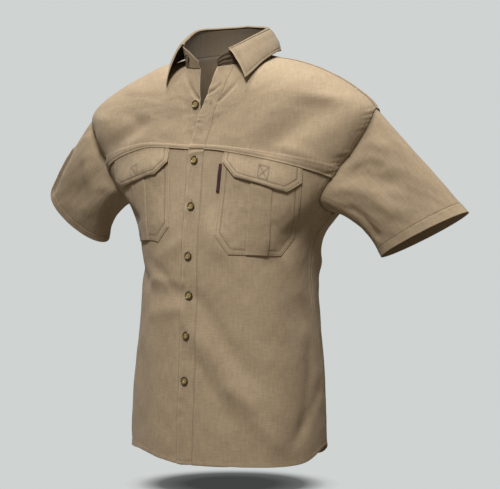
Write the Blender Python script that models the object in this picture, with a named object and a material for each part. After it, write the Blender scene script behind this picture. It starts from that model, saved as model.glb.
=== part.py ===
"""A short-sleeved safari shirt, kept in the shape of a body that is not there.

Units are metres. The origin is the middle of the neck opening, level with the
tops of the shoulders. +X is the wearer's left, the front faces -Y, +Z is up.
"""
import bpy
import numpy as np
from math import pi, radians

WALL = 0.0013        # thickness of one layer of cloth
INSET = 0.0002       # each piece stops this far short of a seam

# Rings of the trunk, hem to neck. run climbs the cloth; wide is the half width;
# front and back are the depths; the z columns give the height at three places;
# square is how boxy the ring is (2 is an ellipse).
RINGS = np.array([
    # run    wide   front  back   z_front z_side  z_back  square
    [0.000, 0.184, 0.142, 0.124, -0.702, -0.702, -0.702, 2.3],
    [0.060, 0.183, 0.139, 0.122, -0.640, -0.640, -0.640, 2.3],
    [0.160, 0.178, 0.133, 0.120, -0.535, -0.535, -0.535, 2.3],
    [0.260, 0.169, 0.128, 0.117, -0.430, -0.430, -0.430, 2.3],
    [0.340, 0.169, 0.125, 0.117, -0.352, -0.356, -0.352, 2.3],
    [0.395, 0.181, 0.121, 0.119, -0.295, -0.305, -0.295, 2.3],
    [0.440, 0.214, 0.114, 0.121, -0.240, -0.267, -0.240, 2.3],
    [0.520, 0.255, 0.106, 0.118, -0.165, -0.185, -0.165, 2.5],
    [0.620, 0.298, 0.097, 0.105, -0.110, -0.090, -0.085, 2.0],
    [0.690, 0.242, 0.094, 0.098, -0.086, -0.042, -0.048, 2.0],
    [0.770, 0.155, 0.090, 0.080, -0.052, -0.003, 0.004, 2.0],
    [0.840, 0.072, 0.084, 0.062, -0.012, 0.014, 0.028, 2.0],
])

# How the wearer's right side differs: it is lifted, and a little narrower.
RIGHT_SIDE = np.array([
    # run   lift   width
    [0.0000, 0.019, 0.975],
    [0.1000, 0.016, 0.980],
    [0.2000, 0.015, 0.960],
    [0.3000, 0.020, 0.955],
    [0.3535, 0.026, 0.970],
    [0.4400, 0.028, 0.990],
    [0.4900, 0.021, 1.000],
    [0.5300, 0.019, 1.000],
    [0.5600, 0.012, 1.000],
    [0.6200, 0.000, 1.000],
    [0.8400, 0.000, 1.000],
])
UNDERARM = 0.44      # run of the ring under the arms
TIP = 0.62           # run of the ring at the shoulder tips
NECK = 0.84          # run of the neck seam

# Rows of the pieces. Up to UNDERARM a row ends on the side seam, from there to
# TIP on the armhole, and above that on the shoulder seam.
ROWS_BODY = [0.0, 0.03, 0.075, 0.12, 0.165, 0.21, 0.26, 0.31, 0.3535, 0.387, 0.415, 0.44]
ROWS_FRONT_ARM = [0.455, 0.475, 0.493, 0.51]
ROWS_YOKE_ARM = [0.51, 0.524, 0.538, 0.552, 0.566, 0.58, 0.593, 0.606, 0.62]
ROWS_SHOULDER = [0.66, 0.70, 0.74, 0.775, 0.81, 0.84]
FRONT_SEAM = 0.51
BACK_SEAM = 0.58

# Columns of a front, as distances from the centre line at the pocket's foot.
COLUMNS = [0.034, 0.047, 0.075, 0.105, 0.1245, 0.144, 0.168, 0.192]
SPREAD = [0.33, 0.67, 1.0]       # shares of the way from the pocket to the side
BAND_LEFT = [0.0, 0.0105, 0.0215, 0.032]
BAND_RIGHT = [0.0, 0.015, 0.0305, 0.0375]
LEAN = 0.065                     # the pocket columns lean outward going up

# The front edges: the left lies over the right and both part at the open neck.
EDGE = np.array([
    # run   left    right
    [0.00, -0.016, -0.014],
    [0.53, -0.016, -0.014],
    [0.60, -0.005, -0.006],
    [0.66, -0.001, -0.001],
    [0.69, 0.003, 0.000],
    [0.84, 0.028, 0.005],
])
UNDERLAP = 0.0021    # how far the right front dips to pass below the left

# Largest folds. side +1 is the wearer's left; each line runs from one
# (angle, run) to another; depth is negative for a hollow.
FOLDS = [
    # side deg_a  run_a  deg_b  run_b  width  depth
    [+1, 58.0, 0.640, 76.0, 0.545, 0.024, -0.0070],
    [+1, 79.0, 0.600, 66.0, 0.500, 0.013, 0.0030],
    [+1, 84.0, 0.455, 62.0, 0.330, 0.022, -0.0055],
    [+1, 50.0, 0.390, 82.0, 0.250, 0.018, 0.0035],
    [+1, 10.0, 0.400, 48.0, 0.250, 0.016, 0.0035],
    [+1, 8.0, 0.350, 40.0, 0.200, 0.014, -0.0030],
    [+1, 70.0, 0.160, 78.0, 0.010, 0.020, -0.0050],
    [+1, 30.0, 0.140, 42.0, 0.000, 0.022, 0.0040],
    [+1, 115.0, 0.400, 150.0, 0.280, 0.020, -0.0050],
    [+1, 160.0, 0.460, 172.0, 0.300, 0.026, 0.0045],
    [+1, 150.0, 0.180, 142.0, 0.010, 0.024, 0.0050],
    [-1, 74.0, 0.620, 84.0, 0.520, 0.018, -0.0060],
    [-1, 60.0, 0.680, 48.0, 0.560, 0.022, -0.0035],
    [-1, 38.0, 0.400, 80.0, 0.330, 0.014, -0.0045],
    [-1, 30.0, 0.350, 74.0, 0.270, 0.016, 0.0035],
    [-1, 82.0, 0.460, 56.0, 0.420, 0.014, -0.0035],
    [-1, 50.0, 0.150, 42.0, 0.010, 0.020, -0.0035],
    [-1, 112.0, 0.410, 146.0, 0.300, 0.018, -0.0050],
    [-1, 158.0, 0.270, 170.0, 0.100, 0.026, -0.0040],
    [-1, 130.0, 0.170, 136.0, 0.010, 0.024, 0.0050],
]

# Sleeves: where the upper and lower ends of the cuff are, and its half depth.
CUFF = {
    +1: dict(top=(0.456, 0.030, -0.268), low=(0.300, 0.020, -0.344), front=(0.0, -0.034, 0.0)),
    -1: dict(top=(-0.463, 0.070, -0.217), low=(-0.310, 0.050, -0.314), front=(0.0, -0.030, -0.018)),
}
SLEEVE_STEPS = [0.0, 0.09, 0.2, 0.34, 0.5, 0.66, 0.8, 0.9, 1.0]
SLEEVE_FOLDS = [
    # side around_a along_a around_b along_b width  depth
    [+1, 40.0, 0.06, 95.0, 0.60, 0.020, -0.0060],
    [+1, 78.0, 0.05, 130.0, 0.75, 0.016, 0.0040],
    [+1, 150.0, 0.08, 105.0, 0.50, 0.014, -0.0040],
    [+1, -45.0, 0.08, -100.0, 0.70, 0.020, -0.0050],
    [-1, 50.0, 0.05, 120.0, 0.70, 0.018, -0.0060],
    [-1, 20.0, 0.10, 75.0, 0.80, 0.018, 0.0040],
    [-1, 150.0, 0.10, 115.0, 0.60, 0.012, -0.0030],
    [-1, -50.0, 0.08, -110.0, 0.60, 0.020, -0.0050],
]

# Collar, front corner to the middle of the back.
COLLAR = np.array([
    # along  fold_deg fold_r  fold_z edge_deg edge_r edge_z
    [0.00, 32.6, 0.0890, 0.0205, 45.6, 0.126, -0.034],
    [0.25, 62.0, 0.0750, 0.0420, 66.0, 0.110, -0.002],
    [0.45, 90.0, 0.0700, 0.0570, 90.0, 0.100, 0.018],
    [0.72, 132.0, 0.0690, 0.0700, 132.0, 0.090, 0.027],
    [1.00, 180.0, 0.0640, 0.0780, 180.0, 0.081, 0.026],
])
COLLAR_RIGHT = np.array([
    [0.00, 32.6, 0.0890, 0.0330, 42.0, 0.115, -0.038],
    [0.25, 62.0, 0.0750, 0.0500, 65.2, 0.108, -0.002],
    [0.45, 90.0, 0.0700, 0.0670, 90.0, 0.100, 0.020],
    [0.72, 132.0, 0.0690, 0.0755, 132.0, 0.090, 0.028],
    [1.00, 180.0, 0.0640, 0.0780, 180.0, 0.081, 0.026],
])
STAND_ENDS = np.array([
    # degrees, height: the stand's ends are cut down in a curve
    [-32.6, 0.0300],
    [-18.0, 0.0180],
    [-3.4, 0.0000],
    [18.8, 0.0010],
    [25.0, 0.0115],
    [32.6, 0.0175],
])
ROLL = 0.0023        # outer radius of the roll where the collar turns over

# Rows of each flap: how far each stands off the front, and its wall.
FLAP = {
    +1: np.array([[0.475, 0.0058, 0.0013], [0.493, 0.0048, 0.0013], [0.510, 0.0017, 0.0012]]),
    -1: np.array([[0.464, 0.0058, 0.0013], [0.484, 0.0054, 0.0013], [0.495, 0.0046, 0.0013],
                  [0.510, 0.0017, 0.0012]]),
}

# Buttons down the front: height, and distance from the left front's centre line.
BUTTONS = [
    # name       z       across
    ["button_2", -0.171, 0.000],
    ["button_3", -0.250, 0.000],
    ["button_4", -0.338, 0.000],
    ["button_5", -0.407, 0.000],
    ["button_6", -0.478, 0.000],
    ["button_7", -0.557, 0.000],
]
BUTTON_R = 0.0073

COLOURS = {
    "khaki_twill": (0.345, 0.275, 0.196, 1.0),
    "horn_button": (0.105, 0.082, 0.028, 1.0),
    "woven_tab": (0.055, 0.018, 0.022, 1.0),
}


def hermite(table, x):
    """Smooth curve through the rows of a table whose first column is x."""
    xs, ys = table[:, 0], table[:, 1:]
    slope = np.gradient(ys, xs, axis=0)
    x = np.asarray(x, float)
    k = np.clip(np.searchsorted(xs, x) - 1, 0, len(xs) - 2)
    h = (xs[k + 1] - xs[k])[..., None]
    t = ((x - xs[k])[..., None]) / h
    t = np.clip(t, 0.0, 1.0)
    a = (2 * t**3 - 3 * t**2 + 1) * ys[k] + (t**3 - 2 * t**2 + t) * h * slope[k]
    b = (3 * t**2 - 2 * t**3) * ys[k + 1] + (t**3 - t**2) * h * slope[k + 1]
    return a + b


def unit(v):
    return v / np.maximum(np.linalg.norm(v, axis=-1, keepdims=True), 1e-12)


def hem_rise(theta):
    return 0.026 * np.exp(-((np.abs(theta) - pi / 2 - radians(12)) / 0.30)**2)


def bare(theta, run):
    """The trunk before any fold. theta is 0 at the centre front."""
    theta, run = np.broadcast_arrays(np.asarray(theta, float), np.asarray(run, float))
    run = run + hem_rise(theta) * np.clip(1 - run / 0.12, 0, 1)
    wide, front, back, zf, zs, zb, square = np.moveaxis(hermite(RINGS, run), -1, 0)
    c, s = np.cos(theta), np.sin(theta)
    deep = np.where(c > 0, front, back)
    r = (np.abs(c / deep)**square + np.abs(s / wide)**square)**(-1 / square)
    bend = 2 - 0.8 * np.clip((run - 0.62) / 0.15, 0, 1)
    z = zs + (np.where(c > 0, zf, zb) - zs) * np.abs(c)**bend
    up = np.clip((run - UNDERARM) / (NECK - UNDERARM), 0, 1)
    lift = 0.012 * np.sin(pi * up)**2 * np.clip(-r * s / 0.25, 0, 1)
    raised, width = np.moveaxis(hermite(RIGHT_SIDE, run), -1, 0)
    right = np.clip(-r * s / np.interp(run, [0, 0.36, 0.5], [0.14, 0.10, 0.06]), 0, 1)
    right = right * right * (3 - 2 * right)
    return np.stack([r * s * (1 + (width - 1) * right), -r * c, z + lift + raised * right], -1)


def normal(surface, a, b, flip=1.0):
    """Outward normal of a surface given by two parameters."""
    e = 1e-4
    da = surface(a + e, b) - surface(a - e, b)
    db = surface(a, b + e) - surface(a, b - e)
    return unit(np.cross(da, db)) * flip


def furrow(x, y, x0, y0, x1, y1, width, depth):
    """A soft ridge or trough along a line, fading out at both ends."""
    dx, dy = x1 - x0, y1 - y0
    long = np.hypot(dx, dy)
    along = ((x - x0) * dx + (y - y0) * dy) / long
    off = ((x - x0) * dy - (y - y0) * dx) / long
    past = np.maximum(np.maximum(-along, along - long), 0)
    return depth * np.exp(-(off / width)**2 - (past / (1.5 * width))**2)


def trunk(theta, run):
    """The outer face of the shirt's trunk, with its folds."""
    theta, run = np.broadcast_arrays(np.asarray(theta, float), np.asarray(run, float))
    around = theta * 0.155
    depth = np.zeros(theta.shape)
    for side, a, ra, b, rb, width, deep in FOLDS:
        depth = depth + furrow(around, run, side * radians(a) * 0.155, ra,
                               side * radians(b) * 0.155, rb, width, deep)
    calm = np.clip((NECK - 0.02 - run) / 0.10, 0, 1)
    calm = calm * np.clip((np.abs(theta) - 0.10) / 0.25, 0, 1)
    return bare(theta, run) + normal(bare, theta, run) * (depth * calm)[..., None]


def side_angle(run):
    t = np.clip(1 - np.asarray(run, float) / UNDERARM, 0, 1)
    return pi / 2 + radians(12) * t * t * (3 - 2 * t)


def armhole(around):
    """around: 0 at the shoulder tip, +90 degrees front, 180 underarm, -90 back."""
    around = np.asarray(around, float)
    low = (1 - np.cos(around)) / 2
    wide = np.where(np.sin(around) > 0, 0.08, 0.14) + 0.34 * low**3
    return pi / 2 - wide * np.sin(around), TIP + (UNDERARM - TIP) * low


def boundary(row, half):
    """Outer end of a row: side seam, armhole or shoulder seam. half +1 is front."""
    row = np.asarray(row, float)
    around = pi * (1 - (np.clip(row, UNDERARM, TIP) - UNDERARM) / (TIP - UNDERARM))
    arm_theta, arm_run = armhole(half * around)
    theta = np.where(row < UNDERARM, side_angle(row), np.where(row > TIP, pi / 2, arm_theta))
    run = np.where(row < UNDERARM, row, np.where(row > TIP, row, arm_run))
    return theta, run


ARC_RUNS = np.linspace(0, NECK, 85)
ARC_THETAS = np.linspace(-0.5, 2.2, 181)
ARC_POINTS = bare(ARC_THETAS[None, :], ARC_RUNS[:, None])
ARC_STEPS = np.linalg.norm(np.diff(ARC_POINTS, axis=1), axis=-1)
ARC = np.concatenate([np.zeros((85, 1)), np.cumsum(ARC_STEPS, axis=1)], axis=1)
ARC = ARC - np.array([np.interp(0.0, ARC_THETAS, row) for row in ARC])[:, None]


def ring_row(run):
    k = min(int(run / NECK * 84), 83)
    t = run / NECK * 84 - k
    return ARC[k] * (1 - t) + ARC[k + 1] * t


def distance_at(theta, run):
    return float(np.interp(theta, ARC_THETAS, ring_row(run)))


def theta_at(distance, run):
    """The angle that lies this far round the ring from the centre front."""
    return float(np.interp(distance, ring_row(run), ARC_THETAS))


def front_column(side, column, row):
    """Angle and run at one column and row of a front piece."""
    end_theta, end_run = (float(v) for v in boundary(row, +1))
    centre = float(np.interp(row, [0, UNDERARM, FRONT_SEAM, NECK], [0, UNDERARM, 0.53, NECK]))
    reach = distance_at(end_theta, end_run)
    seam_theta, seam_run = (float(v) for v in boundary(FRONT_SEAM, +1))
    seam_reach = distance_at(seam_theta, seam_run)
    band = BAND_LEFT if side > 0 else BAND_RIGHT
    edge = float(np.interp(centre, EDGE[:, 0], EDGE[:, 1 if side > 0 else 2]))
    low_edge = EDGE[0, 1 if side > 0 else 2]

    def low(col, length, centre_run):
        tilt = LEAN * (np.clip(centre_run, 0.3535, 0.53) - 0.3535)
        outer = COLUMNS[-1] + tilt
        places = [low_edge + b for b in band] + [c + tilt for c in COLUMNS]
        places += [outer + s * (length - outer) for s in SPREAD]
        return float(np.interp(col, range(len(places)), places))

    if row <= FRONT_SEAM:
        distance = low(column, reach, centre)
    elif column <= 3:
        distance = edge + float(np.interp(column, range(4), band))
    else:
        start = low_edge + band[3]
        share = (low(column, seam_reach, 0.53) - start) / (seam_reach - start)
        distance = edge + band[3] + share * (reach - edge - band[3])
    u = min(max(distance / reach, 0.0), 1.0)
    run = centre + (end_run - centre) * u * u
    if column >= LAST - 1e-9:
        return side * end_theta, end_run
    return side * theta_at(distance, run), run


LAST = len(BAND_LEFT) + len(COLUMNS) + len(SPREAD) - 1
PLEAT = 8            # column in the middle of the pocket


def underlap(side, column, row):
    """How far below the surface the buttoned edge of the right front runs."""
    if side > 0:
        return 0.0
    across = float(np.interp(column, [0, 2, 3], [1.0, 1.0, 0.0]))
    upward = float(np.interp(row, [0, 0.66, 0.80], [1.0, 1.0, 0.0]))
    return UNDERLAP * across * upward


def sleeve(around, along, side):
    """Outer face of a sleeve, from the armhole (0) to the cuff (1)."""
    around, along = np.broadcast_arrays(np.asarray(around, float), np.asarray(along, float))
    theta, run = armhole(around)
    p0 = trunk(side * theta, run)
    top, low, front = (np.array(CUFF[side][k]) for k in ("top", "low", "front"))
    middle, up = (top + low) / 2, (top - low) / 2
    p1 = middle + np.cos(around)[..., None] * up + np.sin(around)[..., None] * front
    facing = unit(np.cross(up, front))
    if facing[2] > 0:
        facing = -facing
    w = (1 + np.cos(around)) / 2
    t0 = np.stack([side * (0.16 - 0.01 * w), 0 * w, -0.02 - 0.14 * w], -1)
    t1 = facing * (0.12 + 0.03 * w[..., None])
    t1[..., 0] += side * 0.06 * w
    s = along[..., None]
    return ((2 * s**3 - 3 * s**2 + 1) * p0 + (s**3 - 2 * s**2 + s) * t0
            + (3 * s**2 - 2 * s**3) * p1 + (s**3 - s**2) * t1)


def creased_sleeve(around, along, side):
    def plain(a, b):
        return sleeve(a, b, side)

    around, along = np.broadcast_arrays(np.asarray(around, float), np.asarray(along, float))
    turned = (around + pi) % (2 * pi) - pi
    depth = np.zeros(around.shape)
    for which, a, sa, b, sb, width, deep in SLEEVE_FOLDS:
        if which == side:
            depth = depth + furrow(turned * 0.075, along * 0.19, radians(a) * 0.075, sa * 0.19,
                                   radians(b) * 0.075, sb * 0.19, width, deep)
    calm = np.clip(along / 0.15, 0, 1) * np.clip((1.02 - along) / 0.15, 0, 1)
    return plain(around, along) + normal(plain, around, along, side) * (depth * calm)[..., None]


def mitre(n1, n2):
    """Shared direction for the walls of two pieces that meet at a seam."""
    m = unit(n1 + n2)
    return m / np.maximum(np.sum(m * n1, axis=-1, keepdims=True), 0.8)


def armhole_mitre(around, side):
    theta, run = armhole(around)

    def plain(a, b):
        return sleeve(a, b, side)

    return mitre(normal(bare, side * theta, run), normal(plain, around, 0.01 + 0 * theta, side))


def collar_row(degrees):
    """Fold and edge of the collar leaf at an angle of its fold."""
    degrees = np.asarray(degrees, float)
    left = hermite(COLLAR[:, 1:], np.abs(degrees))
    right = hermite(COLLAR_RIGHT[:, 1:], np.abs(degrees))
    r, z, edge_deg, edge_r, edge_z = np.moveaxis(np.where(degrees[..., None] < 0, right, left), -1, 0)
    return np.where(degrees < 0, -1.0, 1.0), r, z, edge_deg, edge_r, edge_z


def polar(degrees, r, z):
    a = np.radians(degrees)
    return np.stack([r * np.sin(a), -r * np.cos(a), z + 0 * a], -1)


def stand(theta, up):
    """Collar stand: from the neck seam (0) to its top (1)."""
    theta, up = np.broadcast_arrays(np.asarray(theta, float), np.asarray(up, float))
    degrees = np.degrees(theta)
    wrapped = (degrees + 180) % 360 - 180
    base = bare(theta, np.full(theta.shape, NECK))
    held = np.where(np.abs(wrapped) < 32.6, np.where(wrapped < 0, -32.6, 32.6), wrapped)
    r = collar_row(held)[1]
    ends = np.interp(wrapped, STAND_ENDS[:, 0], STAND_ENDS[:, 1])
    z = np.where(np.abs(wrapped) < 32.6, ends, collar_row(wrapped)[2] - 0.003)
    top = np.stack([np.sin(theta) * r, -np.cos(theta) * r, z], -1)
    return base + (top - base) * up[..., None]


def leaf(degrees, down):
    """Collar leaf: down 0 at the stand's top, 1 where the roll ends, 2 at the edge."""
    degrees, down = np.broadcast_arrays(np.asarray(degrees, float), np.asarray(down, float))
    side, r, z, edge_deg, edge_r, edge_z = collar_row(degrees)
    turn = np.pi * (1 - np.clip(down, 0, 1))
    radius = r + ROLL * (1 + np.cos(turn)) - WALL
    roll = polar(degrees, radius, z - ROLL + ROLL * np.sin(turn))
    fold = polar(degrees, r + 2 * ROLL - WALL, z - ROLL)
    edge = polar(side * edge_deg, edge_r, edge_z)
    out = edge - fold
    out[..., 2] = 0
    v = np.clip(down - 1, 0, 1)[..., None]
    fall = fold + (edge - fold) * v + unit(out) * 0.005 * np.sin(pi * v)
    fall[..., 2] += 0.002 * np.sin(pi * np.minimum(v[..., 0] * 3, 1))
    return np.where((down <= 1)[..., None], roll, fall)


def neck_mitre(theta):
    theta = np.asarray(theta, float)
    return mitre(normal(bare, theta, np.full(theta.shape, NECK - 2e-4)),
                 normal(stand, theta, np.full(theta.shape, 0.5)))


def grid_triangles(rows, columns, wrap, lean, cut):
    """Two triangles for each cell; the diagonal turns at column lean."""
    triangles = []
    for i in range(rows - 1):
        for j in range(columns if wrap else columns - 1):
            a, b = i * columns + j, i * columns + (j + 1) % columns
            c, d = a + columns, b + columns
            pair = [(a, b, c), (b, d, c)] if j < lean else [(a, b, d), (a, d, c)]
            triangles += [t for k, t in enumerate(pair) if (i, j, k) not in cut]
    return triangles


def material(name):
    found = bpy.data.materials.get(name)
    if found:
        return found
    found = bpy.data.materials.new(name)
    found.use_nodes = True
    shader = found.node_tree.nodes["Principled BSDF"]
    shader.inputs["Base Color"].default_value = COLOURS[name]
    shader.inputs["Roughness"].default_value = 0.35 if name == "horn_button" else 0.9
    return found


def add_solid(name, points, triangles, material_name):
    """Make one closed body, facing outward."""
    used = sorted({v for t in triangles for v in t})
    place = {v: k for k, v in enumerate(used)}
    points = np.asarray(points)[used]
    triangles = np.array([[place[v] for v in t] for t in triangles])
    p = points[triangles]
    volume = np.sum(np.cross(p[:, 0], p[:, 1]) * p[:, 2]) / 6
    if volume < 0:
        triangles = triangles[:, ::-1]
    mesh = bpy.data.meshes.new(name)
    mesh.from_pydata(points.tolist(), [], triangles.tolist())
    mesh.update()
    mesh.materials.append(material(material_name))
    thing = bpy.data.objects.new(name, mesh)
    bpy.context.scene.collection.objects.link(thing)
    return thing


def pull_in(grid, wrap, amount):
    """Draw the rim of a grid inward, toward the next row or column."""
    moved = grid.copy()
    moved[0] += unit(grid[1] - grid[0]) * amount
    moved[-1] += unit(grid[-2] - grid[-1]) * amount
    if not wrap:
        moved[:, 0] += unit(grid[:, 1] - grid[:, 0]) * amount
        moved[:, -1] += unit(grid[:, -2] - grid[:, -1]) * amount
    return moved


def add_wall(name, outer, through, wrap=False, lean=0, cut=(), material_name="khaki_twill",
             inset=INSET):
    """One layer of cloth: its outer face, and an inner face one wall behind it."""
    inner = outer - through
    outer, inner = pull_in(outer, wrap, inset), pull_in(inner, wrap, inset)
    rows, columns = outer.shape[:2]
    face = grid_triangles(rows, columns, wrap, lean, set(cut))
    count = rows * columns
    edges = {(t[k], t[(k + 1) % 3]) for t in face for k in range(3)}
    rim = [e for e in edges if (e[1], e[0]) not in edges]
    back = [(c + count, b + count, a + count) for a, b, c in face]
    points = np.concatenate([outer.reshape(-1, 3), inner.reshape(-1, 3)])
    rank = points @ np.array([0.11, 0.37, 1.0])
    side = []
    for p, q in sorted(rim):
        if rank[p] > rank[q]:
            side += [(q, p, q + count), (p, p + count, q + count)]
        else:
            side += [(q, p, p + count), (q, p + count, q + count)]
    return add_solid(name, points, face + back + side, material_name)


def front_grid(side, columns, rows):
    """Outer points and unit normals of part of a front."""
    pairs = np.array([[front_column(side, c, r) for c in columns] for r in rows])
    theta, run = pairs[..., 0], pairs[..., 1]
    points, normals = trunk(theta, run), normal(trunk, theta, run)
    dip = np.array([[underlap(side, c, r) for c in columns] for r in rows])
    return points - normals * dip[..., None], normals, theta


def seam_walls(normals, theta, rows, side, half, column):
    """Use the shared directions along the armhole and the neck."""
    walls = normals * WALL
    for i, row in enumerate(rows):
        if UNDERARM - 1e-9 <= row <= TIP + 1e-9:
            around = half * pi * (1 - (row - UNDERARM) / (TIP - UNDERARM))
            walls[i, column] = armhole_mitre(np.array(around), side) * WALL
        if row >= NECK - 1e-9:
            walls[i] = neck_mitre(theta[i]) * WALL
    return walls


def add_fronts():
    lower = ROWS_BODY + ROWS_FRONT_ARM
    upper = ROWS_YOKE_ARM + ROWS_SHOULDER
    for side, word in ((+1, "left"), (-1, "right")):
        first = 3 if side > 0 else 0
        columns = list(range(first, LAST + 1))
        for name, rows in ((f"front_{word}", lower), (f"front_yoke_{word}", upper)):
            points, normals, theta = front_grid(side, columns, rows)
            walls = seam_walls(normals, theta, rows, side, +1, -1)
            add_wall(name, points, walls, lean=PLEAT - first)
    rows = lower + upper[1:]
    points, normals, theta = front_grid(+1, [0, 1, 2, 3], rows)
    walls = seam_walls(normals, theta, rows, +1, +1, -1)
    walls[:, -1] = normals[:, -1] * WALL
    walls[-1] = neck_mitre(theta[-1]) * WALL
    add_wall("placket", points, walls)


def back_grid(rows, shares):
    theta, run = np.zeros((len(rows), len(shares))), np.zeros((len(rows), len(shares)))
    for i, row in enumerate(rows):
        end_theta, end_run = boundary(row, -1)
        centre = np.interp(row, [0, UNDERARM, BACK_SEAM, NECK], [0, UNDERARM, 0.60, NECK])
        theta[i] = pi + (pi - end_theta) * shares
        run[i] = centre + (end_run - centre) * shares**2
    turned = np.where(theta > pi, theta - 2 * pi, theta)
    return trunk(turned, run), normal(trunk, turned, run), turned


def back_shares():
    """Columns of the back, closer together toward the sides."""
    even = np.linspace(-1, 1, 25)
    return 0.45 * even + 0.55 * np.sin(even * pi / 2)


def add_back():
    shares = back_shares()
    lower = ROWS_BODY + ROWS_FRONT_ARM[:-1] + ROWS_YOKE_ARM[:6]
    upper = ROWS_YOKE_ARM[5:] + ROWS_SHOULDER
    for name, rows in (("back", lower), ("back_yoke", upper)):
        points, normals, theta = back_grid(rows, shares)
        walls = seam_walls(normals, theta, rows, +1, -1, 0)
        right = seam_walls(normals, theta, rows, -1, -1, -1)
        walls[:, -1] = right[:, -1]
        add_wall(name, points, walls)


def add_sleeves():
    rows = np.array([UNDERARM] + ROWS_FRONT_ARM + ROWS_YOKE_ARM[1:])
    front = pi * (1 - (rows - UNDERARM) / (TIP - UNDERARM))
    around = np.concatenate([front[::-1], -front[1:-1]])
    for side, word in ((+1, "left"), (-1, "right")):
        def plain(a, b):
            return creased_sleeve(a, b, side)

        a, s = np.meshgrid(around, SLEEVE_STEPS)
        walls = normal(plain, a, np.clip(s, 0.001, 0.999), side) * WALL
        walls[0] = armhole_mitre(around, side) * WALL
        add_wall(f"sleeve_{word}", plain(a, s), walls, wrap=True)


def neck_angles():
    """Angles along the neck seam, right front end to left front end."""
    left = [front_column(+1, c, NECK)[0] for c in range(0, LAST + 1)]
    right = [front_column(-1, c, NECK)[0] for c in range(0, LAST + 1)]
    back = back_grid([NECK], back_shares())[2][0]
    back = np.where(back < 0, back + 2 * pi, back)
    right = np.array(right) + 2 * pi
    return np.concatenate([right, back[::-1][1:-1], np.array(left)[::-1]])


def add_collar():
    angles = neck_angles()
    a, up = np.meshgrid(angles, [0.0, 0.35, 0.7, 1.0])
    walls = normal(stand, a, np.clip(up, 0.01, 0.99)) * WALL
    walls[0] = neck_mitre(angles) * WALL
    add_wall("collar_stand", stand(a, up), walls)
    degrees = np.concatenate([-np.linspace(32.6, 180, 19), np.linspace(180, 32.6, 19)[1:]])
    # the two halves meet at the middle of the back, where -180 and 180 are one place
    d, down = np.meshgrid(degrees, [0.0, 0.33, 0.67, 1.0, 1.2, 1.47, 1.74, 2.0])
    walls = normal(leaf, d, np.where(down > 1, down - 0.001, down + 0.001), -1.0) * WALL
    add_wall("collar_leaf", leaf(d, down), walls)


def lifted(side, columns, rows, lift):
    """Points of a front moved out by lift, one value for each row."""
    points, normals, theta = front_grid(side, columns, rows)
    return points + normals * np.asarray(lift)[:, None, None], normals


def add_pockets():
    rows = [0.3535, 0.387, 0.415, 0.44, 0.455, 0.475, 0.493]
    columns = list(range(5, 12))
    for side, word in ((+1, "left"), (-1, "right")):
        cut = {(0, 0, 0), (0, len(columns) - 2, 0)}
        outer, normals = lifted(side, columns, rows, [0.0014] * 7)
        add_wall(f"pocket_{word}", outer, normals * 0.0011, lean=PLEAT - 5, cut=cut)
        outer, normals = lifted(side, [7, 8, 9], rows, [0.0028] * 7)
        add_wall(f"pocket_pleat_{word}", outer, normals * 0.0011, lean=1)
        flap = FLAP[side]
        outer, normals = lifted(side, columns, flap[:, 0], flap[:, 1])
        walls = normals * flap[:, 2][:, None, None]
        add_wall(f"flap_{word}", outer, walls, lean=PLEAT - 5, cut=cut)
    outer, normals = lifted(+1, [4.55, 4.9], [0.455, 0.468, 0.481], [0.0014] * 3)
    add_wall("side_tab", outer, normals * 0.0010, material_name="woven_tab")


def place_at_height(z, across):
    """Point and normal of the front at a height and a distance from the centre."""
    runs = np.linspace(0.02, 0.80, 400)
    heights = bare(np.full(400, 0.01), runs)[:, 2]
    run = float(np.interp(z, heights, runs))
    theta = np.array(theta_at(across, run))
    return trunk(theta, np.array(run)), normal(trunk, theta, np.array(run))


def add_button(name, point, facing, turns=16):
    """A dished button: pairs of radius and height, turned round its own axis."""
    profile = [(0.0045, 0.0018), (0.0055, 0.0029), (0.0068, 0.0028), (BUTTON_R, 0.0016),
               (0.0066, 0.0)]
    facing = unit(facing)
    across = unit(np.cross(facing, [0.0, 0.0, 1.0]))
    up = np.cross(across, facing)
    angles = np.linspace(0, 2 * pi, turns, endpoint=False)
    rings = [point + facing * h + r * (np.cos(angles)[:, None] * across
                                       + np.sin(angles)[:, None] * up) for r, h in profile]
    points = np.concatenate(rings + [[point + facing * 0.0018], [point]])
    triangles = grid_triangles(len(profile), turns, True, 0, set())
    last, top, bottom = (len(profile) - 1) * turns, len(points) - 2, len(points) - 1
    for k in range(turns):
        n = (k + 1) % turns
        triangles.append((top, n, k))
        triangles.append((bottom, last + k, last + n))
    add_solid(name, points, triangles, "horn_button")


def add_buttons():
    for name, z, across in BUTTONS:
        point, facing = place_at_height(z, across)
        add_button(name, point + facing * 0.0006, facing)
    # the open button sits on the right front's edge
    points, normals, theta = front_grid(-1, [0.6], [0.705])
    add_button("button_1", points[0, 0] + normals[0, 0] * 0.0006, normals[0, 0])
    theta = np.array(radians(-25))
    facing = normal(stand, theta, np.array(0.5), -1.0)
    facing = facing if facing[1] < 0 else -facing
    add_button("button_collar", stand(theta, np.array(0.5)) + facing * 0.0006, facing)


def main():
    for thing in list(bpy.data.objects):
        bpy.data.objects.remove(thing, do_unlink=True)
    add_fronts()
    add_back()
    add_sleeves()
    add_collar()
    add_pockets()
    add_buttons()


main()
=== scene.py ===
"""The safari shirt's looks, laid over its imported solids.

Units are metres, in the frame of the solids: +X is the wearer's left, the
front faces -Y, +Z is up, and the origin is the middle of the neck opening.
"""

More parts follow.
